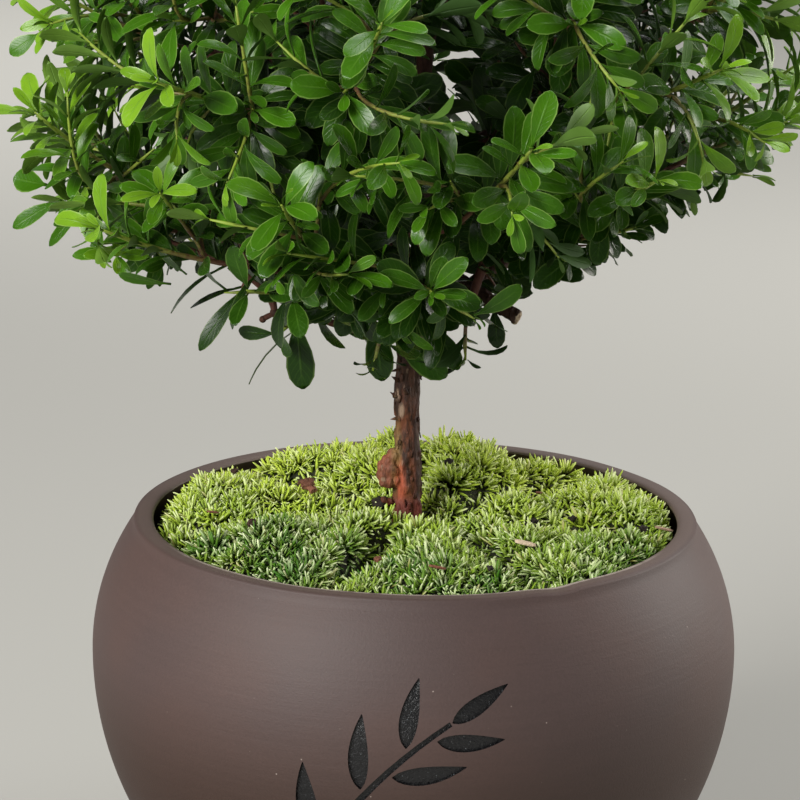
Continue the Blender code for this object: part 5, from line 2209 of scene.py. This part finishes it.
    def build(self) -> bpy.types.Object:
        """Makes the wood as one piece."""
        s = self.crown.shape
        core = self.core()
        bm = bmesh.new()
        bm.verts.layers.float.new("age")
        bm.from_mesh(core)
        end, before = Vector(s.pruned[-1][0]), Vector(s.pruned[-2][0])
        way = (end - before).normalized()
        bm.normal_update()
        for face in bm.faces:
            near = (face.calc_center_median() - end).dot(way) > -0.0004
            close = (face.calc_center_median() - end).length < 0.004
            face.material_index = 1 if near and close and face.normal.dot(way) > 0.5 else 0
        bpy.data.meshes.remove(core)
        self.chip_bark(bm)
        for line, radii in self.twigs:
            self.twig(bm, line, radii)
        for point, radius in self.knobs:
            ball = bmesh.ops.create_icosphere(bm, subdivisions=2, radius=radius)["verts"]
            bmesh.ops.translate(bm, verts=ball, vec=Vector(point))
        for limb, radius in self.crown.limbs:
            self.branch(bm, limb, (radius, radius * (1 - s.limb_taper)), 10, 0.35)
        for root, joint in self.crown.stubs:
            self.branch(bm, (root, (root + joint) / 2, joint), (s.stub_root_r, s.stub_r * 0.85), 7, 0.8)
        for start, tip, radius in self.thorns:
            points = [Vector(start), (Vector(start) + Vector(tip)) / 2, Vector(tip)]
            loft(bm, rings_along(points, [radius, radius * 0.7, radius * 0.2], 6), pointed=True)
        piece = add_object("bark_and_limbs", mesh_from("bark_and_limbs", bm))
        piece.data.materials.append(BarkFinish().make())
        piece.data.materials.append(CutWoodFinish().make())
        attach(piece, "root")
        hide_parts("trunk_and_limbs")
        return piece


# The moss

@dataclass(frozen=True)
class MossShape:
    """The moss cushions' sizes, as the CAD source has them."""

    rim_z: float = 0.116
    soil_z: float = 0.104
    gap: float = 0.0003
    radius: float = 0.0718
    seam: float = 0.0009
    middle_rise: float = 0.0024
    fall: float = 0.0056
    dome: float = 2.2
    trunk_clear_r: float = 0.0064
    stem: tuple = (-0.0022, -0.0015)
    cushions: tuple = (
        (-0.034, -0.030, 0.0048), (0.006, -0.048, 0.0012), (0.044, -0.028, 0.0018),
        (0.050, 0.014, 0.0030), (0.022, 0.040, 0.0105), (-0.018, 0.044, 0.0085),
        (-0.050, 0.014, 0.0050),
    )

    def middles(self) -> list[Vector]:
        """The middles of the cushions, in plan."""
        return [Vector((x, y)) for x, y, _ in self.cushions]

    def cell_reach(self, index: int, turn: float) -> float:
        """How far a cushion grows from its middle one way, before it meets the half way
        line to a neighbour, the pot's wall or the clear ring round the trunk."""
        middles = self.middles()
        middle = middles[index]
        way = Vector((math.cos(turn), math.sin(turn)))
        along_way = middle.dot(way)
        inner = along_way ** 2 - middle.length_squared + self.radius ** 2
        far = math.sqrt(inner) - along_way
        for other in middles[:index] + middles[index + 1:]:
            apart = other - middle
            toward = apart.dot(way)
            if toward > 0:
                far = min(far, (apart.length_squared / 2) / toward - self.seam / 2)
        stem = Vector(self.stem) - middle
        toward = stem.dot(way)
        across = stem.length_squared - toward ** 2
        if toward > 0 and across < self.trunk_clear_r ** 2:
            far = min(far, toward - math.sqrt(self.trunk_clear_r ** 2 - across))
        return far

    def height(self, index: int, spot: Vector, share: float) -> float:
        """The height of a cushion's skin over a spot, at a share of the way from its middle."""
        crown = self.rim_z + self.cushions[index][2]
        seam = self.rim_z + self.middle_rise - self.fall * spot.length_squared / self.radius ** 2
        return crown - (crown - seam) * share ** self.dome


@dataclass
class MossBed:
    """The moss: a dark bed for each cushion, thick with stars of curved strands."""

    shape: MossShape = MossShape()
    star_gap: float = 0.0049
    star_length: tuple = (0.0052, 0.0084)
    strands: int = 28
    star_kinds: int = 12
    strand_radius: float = 0.073
    strand_rows: tuple = ((0.0, 0.70), (0.55, 1.0), (0.92, 0.66), (1.0, 0.0))
    spread: tuple = (0.03, 1.05)
    bend: tuple = (0.05, 0.65)
    bed_drop: float = 0.0040
    swell: float = 0.0012
    crease: float = 0.0062
    lump_rise: float = 0.0036
    lump_size: float = 0.0112
    wall_ease: float = 0.012
    wall_drop: float = 0.0006
    humps: tuple = (
        (0.0030, 0.0500, 0.0150, 0.0080), (0.0300, 0.0480, 0.0220, -0.0066),
        (-0.0210, 0.0500, 0.0200, -0.0040), (-0.0560, 0.0300, 0.0200, -0.0020),
        (-0.0470, 0.0510, 0.0220, 0.0020),
        (-0.0050, 0.0200, 0.0120, 0.0016), (-0.0030, -0.0120, 0.0130, 0.0036),
        (0.0640, 0.0160, 0.0200, 0.0030), (0.0540, 0.0380, 0.0200, 0.0012),
    )
    litter_lift: float = 0.0002
    chip_lift: float = 0.0014
    seed: int = 17
    crumbs: tuple = (
        (-0.0307, 0.0084, 0.0020, 0.25), (-0.0290, 0.0062, 0.0013, 0.45),
        (-0.0322, 0.0100, 0.0012, 0.15), (-0.0442, -0.0318, 0.0013, 0.10),
        (0.0317, -0.0032, 0.0015, 0.0), (0.0333, -0.0024, 0.0010, 0.0),
        (0.0437, -0.0030, 0.0012, 0.0), (0.0092, 0.0195, 0.0013, 0.0),
        (-0.0102, 0.0066, 0.0024, 0.0), (0.0628, -0.0160, 0.0012, 0.0),
        (-0.0100, -0.0480, 0.0010, 0.3), (0.0200, -0.0560, 0.0009, 0.0),
        (-0.0520, 0.0260, 0.0011, 0.1), (0.0480, 0.0330, 0.0012, 0.1),
        (-0.0088, 0.0026, 0.0019, 0.0), (0.0330, 0.0200, 0.0011, 0.0),
    )
    chips: tuple = (
        ((0.0298, -0.0335), (0.0058, 0.0026, 0.0009), 0.1, 1.0),
        ((0.0690, -0.0060), (0.0052, 0.0015, 0.0006), 0.1, 0.65),
        ((-0.0335, 0.0240), (0.0060, 0.0010, 0.0009), 2.3, 0.30),
        ((0.0350, 0.0180), (0.0040, 0.0012, 0.0006), 1.2, 0.30),
        ((-0.0560, -0.0080), (0.0038, 0.0011, 0.0006), 0.7, 0.45),
        ((0.0060, -0.0600), (0.0046, 0.0008, 0.0007), 0.2, 0.40),
    )

    def star(self, rng: random.Random) -> Stamp:
        """A star of unit height: blunt strands that fan out from one root."""
        bm = bmesh.new()
        bm.verts.layers.int.new("slot")
        high, luck = bm.verts.layers.float.new("high"), bm.verts.layers.float.new("luck")
        for number in range(self.strands):
            share = (number + 0.5) / self.strands
            turn = number * 2.39996 + rng.uniform(-0.3, 0.3)
            tilt = self.spread[0] + (self.spread[1] - self.spread[0]) * share ** 0.55
            tilt += rng.uniform(-0.08, 0.08)
            bend = rng.uniform(*self.bend)
            long = rng.uniform(0.80, 1.08) * (1.0 - 0.10 * share)
            toward = Vector((math.cos(turn), math.sin(turn), 0))
            across = Vector((-math.sin(turn), math.cos(turn), 0))
            rings, point, last = [], toward * 0.16 * share, 0.0
            for place, width in self.strand_rows:
                angle = tilt + bend * (place + last) / 2
                way = Vector((0, 0, 1)) * math.cos(angle) + toward * math.sin(angle)
                point = point + way * (place - last) * long
                over = way.cross(across)
                corners = [(across * math.cos(a) + over * math.sin(a) * 0.7) for a in (0.5, 2.6, 4.7)]
                rings.append([point + corner * self.strand_radius * width for corner in corners])
                last = place
            before = set(bm.verts)
            loft(bm, rings, pointed=True)
            chance = rng.random()
            foot = rings[0][0]
            for corner in set(bm.verts) - before:
                corner[high] = min(1.0, (corner.co - foot).length / (0.98 * long))
                corner[luck] = chance
        bm.verts.layers.int.remove(bm.verts.layers.int.get("slot"))
        return Stamp("star", bm, ("tone",))

    def skin(self, index: int, spot: Vector) -> float:
        """The height of the lumpy skin of a cushion over a spot."""
        middle = self.shape.middles()[index]
        away = spot - middle
        reach = self.shape.cell_reach(index, math.atan2(away.y, away.x))
        share = min(1.0, away.length / max(reach, 1e-6))
        ease = min(1.0, max(0.0, (self.shape.radius - spot.length) / self.wall_ease))
        lump = noise.noise(Vector((spot.x, spot.y, 0.3)) / self.lump_size)
        x, y, reach, _ = self.humps[0]
        filled = math.exp(-2 * ((spot.x - x) ** 2 + (spot.y - y) ** 2) / reach ** 2)
        rise = self.swell * (1 - share ** 2) - self.crease * share ** 6 * ease * (1 - filled)
        rise -= self.wall_drop * (1 - ease) ** 2
        for x, y, reach, lift in self.humps:
            near = (spot.x - x) ** 2 + (spot.y - y) ** 2
            rise += lift * math.exp(-2 * near / reach ** 2)
        return self.shape.height(index, spot, share) + rise + self.lump_rise * lump

    def bed(self, bm: bmesh.types.BMesh, index: int) -> None:
        """Adds the closed dark bed under a cushion's strands."""
        s = self.shape
        middle = s.middles()[index]
        rows = (0.0, 0.25, 0.5, 0.7, 0.86, 0.96, 1.0)
        made = bmesh.ops.create_uvsphere(
            bm, u_segments=40, v_segments=len(rows) + 1, radius=1.0
        )["verts"]
        for corner in made:
            down = math.acos(max(-1.0, min(1.0, corner.co.z))) / math.pi
            level = min(round(down * (len(rows) + 1)), len(rows) + 1)
            turn = math.atan2(corner.co.y, corner.co.x)
            way = Vector((math.cos(turn), math.sin(turn)))
            share = rows[level] if level < len(rows) else 0.98
            if level == len(rows) + 1:
                share = 0.0
            spot = middle + way * s.cell_reach(index, turn) * share
            top = self.skin(index, spot) - self.bed_drop
            low = s.soil_z + s.gap
            corner.co = (spot.x, spot.y, max(low + 0.001, top) if level < len(rows) else low)

    def slope(self, index: int, spot: Vector) -> Vector:
        """Which way and how steeply the skin falls at a spot."""
        step = 0.0015
        across = self.skin(index, spot + Vector((step, 0))) - self.skin(index, spot - Vector((step, 0)))
        ahead = self.skin(index, spot + Vector((0, step))) - self.skin(index, spot - Vector((0, step)))
        return Vector((-across, -ahead)) / (2 * step)

    def spots(self, rng: random.Random) -> list[Vector]:
        """Where the stars stand: uneven rows over the whole bed, clear of the stem."""
        s = self.shape
        found = []
        rows = int(2 * s.radius / (self.star_gap * 0.87)) + 1
        for row in range(rows):
            for column in range(int(2 * s.radius / self.star_gap) + 1):
                x = -s.radius + (column + 0.5 * (row % 2) + rng.uniform(-0.34, 0.34)) * self.star_gap
                y = -s.radius + (row + rng.uniform(-0.34, 0.34)) * self.star_gap * 0.87
                spot = Vector((x, y))
                if spot.length < s.radius and (spot - Vector(s.stem)).length > s.trunk_clear_r - 0.0004:
                    found.append(spot)
        return found

    def litter(self, meshes: list[bmesh.types.BMesh]) -> None:
        """Adds the crumbs and the chips that lie on the moss."""
        ball, block = bmesh.new(), bmesh.new()
        bmesh.ops.create_icosphere(ball, subdivisions=3, radius=1.0)
        for corner in ball.verts:
            corner.co *= 1.0 + 0.8 * noise.noise(corner.co * 1.6) + 0.4 * noise.noise(corner.co * 4.1)
        bmesh.ops.create_cube(block, size=1.0)
        bmesh.ops.bevel(block, geom=block.edges[:], offset=0.2, segments=1, profile=0.5,
                        affect="EDGES", material=-1)
        crumb, chip = Stamp("crumb", ball, ("tone",)), Stamp("chip", block, ("tone",))
        for mesh in (crumb.mesh, chip.mesh):
            mesh.polygons.foreach_set("material_index", [2] * len(mesh.polygons))
        middles = self.shape.middles()
        laid = [(crumb, (x, y), (size, size * 0.8, size * 0.7), x * 900.0, tone)
                for x, y, size, tone in self.crumbs]
        laid += [(chip, spot, sizes, turn, tone) for spot, sizes, turn, tone in self.chips]
        for stamp, place, sizes, turn, tone in laid:
            spot = Vector(place)
            index = min(range(len(middles)), key=lambda i: (middles[i] - spot).length)
            height = self.skin(index, spot) + (self.chip_lift if stamp is chip else self.litter_lift)
            turned = Matrix.Rotation(turn, 3, "Z") @ Matrix.Rotation(0.25, 3, "Y")
            places = (stamp.rest * np.array(sizes)) @ np.array(turned).T
            stamp.press(meshes[index], places + np.array((*place, height)), tone=tone)
        for stamp in (crumb, chip):
            bpy.data.meshes.remove(stamp.mesh)

    def build(self) -> list[bpy.types.Object]:
        """Makes every cushion with its strands."""
        s = self.shape
        stars = [self.star(random.Random(300 + kind)) for kind in range(self.star_kinds)]
        finishes = [f.make() for f in (MossFinish(), MossBedFinish(), LitterFinish())]
        rng = random.Random(self.seed)
        meshes = []
        for index in range(len(s.cushions)):
            bm = bmesh.new()
            for mark in ("tone", "high", "luck"):
                bm.verts.layers.float.new(mark)
            self.bed(bm, index)
            for face in bm.faces:
                face.material_index = 1
            meshes.append(bm)
        middles = s.middles()
        spots = self.spots(rng)
        for spot in spots:
            index = min(range(len(middles)), key=lambda i: (middles[i] - spot).length)
            self.plant(meshes[index], rng.choice(stars), rng, index, spot)
        self.litter(meshes)
        log.info("moss: %d stars", len(spots))
        made = []
        for index, bm in enumerate(meshes):
            name = f"moss_tuft_{index + 1}"
            piece = add_object(name, mesh_from(name, bm))
            for finish in finishes:
                piece.data.materials.append(finish)
            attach(piece, "root")
            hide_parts(f"moss_cushion_{index + 1}")
            made.append(piece)
        for star in stars:
            bpy.data.meshes.remove(star.mesh)
        return made

    def plant(self, bm: bmesh.types.BMesh, stamp: Stamp, rng: random.Random,
              index: int, spot: Vector) -> None:
        """Adds one star with its root over a spot."""
        fall = self.slope(index, spot)
        swirl = noise.noise_vector(Vector((spot.x, spot.y, 4.0)) / 0.016)
        way = fall * 0.85 + Vector((swirl.x, swirl.y)) * 0.40
        turn = math.atan2(way.y, way.x) + rng.gauss(0, 0.2)
        tilt = max(0.0, min(0.80, way.length + rng.gauss(0, 0.07)))
        length = rng.uniform(*self.star_length)
        tip_lift = length * math.cos(tilt) * 0.95
        top = self.skin(index, spot) + rng.uniform(-0.0012, 0.0012)
        height = max(self.shape.soil_z + 0.001, top - tip_lift)
        toward = Vector((math.cos(turn), math.sin(turn)))
        middle = spot - toward * length * math.sin(tilt) * 0.5
        limit = self.shape.radius - length * 0.25
        if middle.length > limit:
            middle = middle * (limit / middle.length)
        spin = Matrix.Rotation(rng.uniform(0, 2 * math.pi), 3, "Z")
        leant = Matrix.Rotation(turn, 3, "Z") @ Matrix.Rotation(tilt, 3, "Y") @ spin * length
        places = stamp.rest @ np.array(leant).T + np.array((middle.x, middle.y, height))
        far = np.hypot(places[:, 0], places[:, 1])
        over = np.clip((places[:, 2] - self.shape.rim_z) / 0.002, 0.0, 1.0)
        places[:, :2] *= np.minimum(1.0, (self.shape.radius + 0.0012 * over) / far)[:, None]
        stamp.press(bm, places, tone=rng.random())


@dataclass
class Studio:
    """The floor, the light and the camera."""

    rim_z: float = 0.116
    distance: float = 1.0
    elevation: float = 16.48
    roll: float = -0.86
    focal_px: float = 3584.0
    picture_px: float = 800.0
    aim_px: tuple = (415.3, 513.6)
    sensor: float = 36.0
    floor_size: float = 14.0
    world: Colour = (0.88, 0.88, 0.86)
    world_strength: float = 0.22
    lights: tuple = (
        ("key", (-1.25, -1.25, 1.15), 0.8, 42.0, (1.0, 0.985, 0.95)),
        ("front", (-0.95, -1.35, 0.60), 0.7, 6.0, (1.0, 1.0, 1.0)),
        ("back", (0.60, 0.70, 1.80), 1.2, 26.0, (1.0, 1.0, 1.0)),
        ("right", (1.60, 0.60, 0.60), 0.8, 20.0, (1.0, 0.95, 0.89)),
    )

    def camera(self) -> None:
        """The camera at the photograph's angle. The middle of the rim falls on aim_px."""
        lift = math.radians(self.elevation)
        spot = Vector((0, -math.cos(lift), math.sin(lift))) * self.distance
        ahead = -spot.normalized()
        right = Vector((1, 0, 0))
        base = Matrix((right, right.cross(ahead), ahead)).transposed()
        half = self.picture_px / 2
        aim = Vector((self.aim_px[0] - half, half - self.aim_px[1], self.focal_px)).normalized()
        off_axis = Vector((0, 0, 1)).rotation_difference(aim).to_matrix()
        turned = off_axis @ Matrix.Rotation(math.radians(self.roll), 3, "Z")
        rows = [base @ Vector(turned[i]) for i in range(3)]
        seen = Matrix((rows[0], rows[1], -rows[2])).transposed().to_4x4()
        seen.translation = spot + Vector((0, 0, self.rim_z))
        data = bpy.data.cameras.new("camera")
        data.sensor_width = self.sensor
        data.lens = self.focal_px * self.sensor / self.picture_px
        data.clip_start, data.clip_end = 0.05, 30.0
        thing = bpy.data.objects.new("camera", data)
        thing.matrix_world = seen
        bpy.context.scene.collection.objects.link(thing)
        bpy.context.scene.camera = thing

    def light(self, name: str, spot: Sequence[float], size: float, power: float,
              colour: Colour) -> None:
        """A soft square light that faces the tree."""
        data = bpy.data.lights.new(name, "AREA")
        data.size, data.energy, data.color = size, power, colour
        thing = bpy.data.objects.new(name, data)
        thing.location = spot
        toward = Vector((0, 0, 0.16)) - Vector(spot)
        thing.rotation_euler = toward.to_track_quat("-Z", "Y").to_euler()
        bpy.context.scene.collection.objects.link(thing)

    def build(self) -> None:
        """Makes the floor, the lights, the sky and the camera."""
        bm = bmesh.new()
        bmesh.ops.create_grid(bm, x_segments=1, y_segments=1, size=self.floor_size / 2)
        floor = add_object("floor", mesh_from("floor", bm))
        floor.data.materials.append(FloorFinish().make())
        world = bpy.data.worlds.new("studio")
        world.use_nodes = True
        sky = world.node_tree.nodes["Background"]
        sky.inputs["Color"].default_value = (*self.world, 1.0)
        sky.inputs["Strength"].default_value = self.world_strength
        bpy.context.scene.world = world
        for light in self.lights:
            self.light(*light)
        bpy.context.scene.view_settings.view_transform = "Standard"
        self.camera()


def dress_cad_nodes() -> None:
    """Gives the CAD nodes that stay their finishes."""
    for node, finish in (("soil", SoilFinish()), ("drain_screen", ScreenFinish())):
        data = frame["nodes"][node].data
        data.materials.clear()
        data.materials.append(finish.make())


def report(piece: bpy.types.Object) -> None:
    """Logs a piece and how many triangles it has."""
    triangles = sum(len(face.vertices) - 2 for face in piece.data.polygons)
    log.info("%s: %d triangles", piece.name, triangles)


def main() -> None:
    """Builds the bonsai and its studio."""
    logging.basicConfig(level=logging.INFO, format="%(name)s %(message)s")
    Studio().build()
    dress_cad_nodes()
    crown = Crown()
    crown.grow()
    report(Pot().build())
    report(Wood(crown).build())
    for piece in MossBed().build() + Foliage(crown).build():
        report(piece)
    total = sum(len(mesh.loop_triangles) or sum(len(f.vertices) - 2 for f in mesh.polygons)
                for mesh in bpy.data.meshes if mesh.users)
    log.info("all meshes, with the hidden CAD ones: %d triangles", total)


if __name__ == "__main__":
    main()
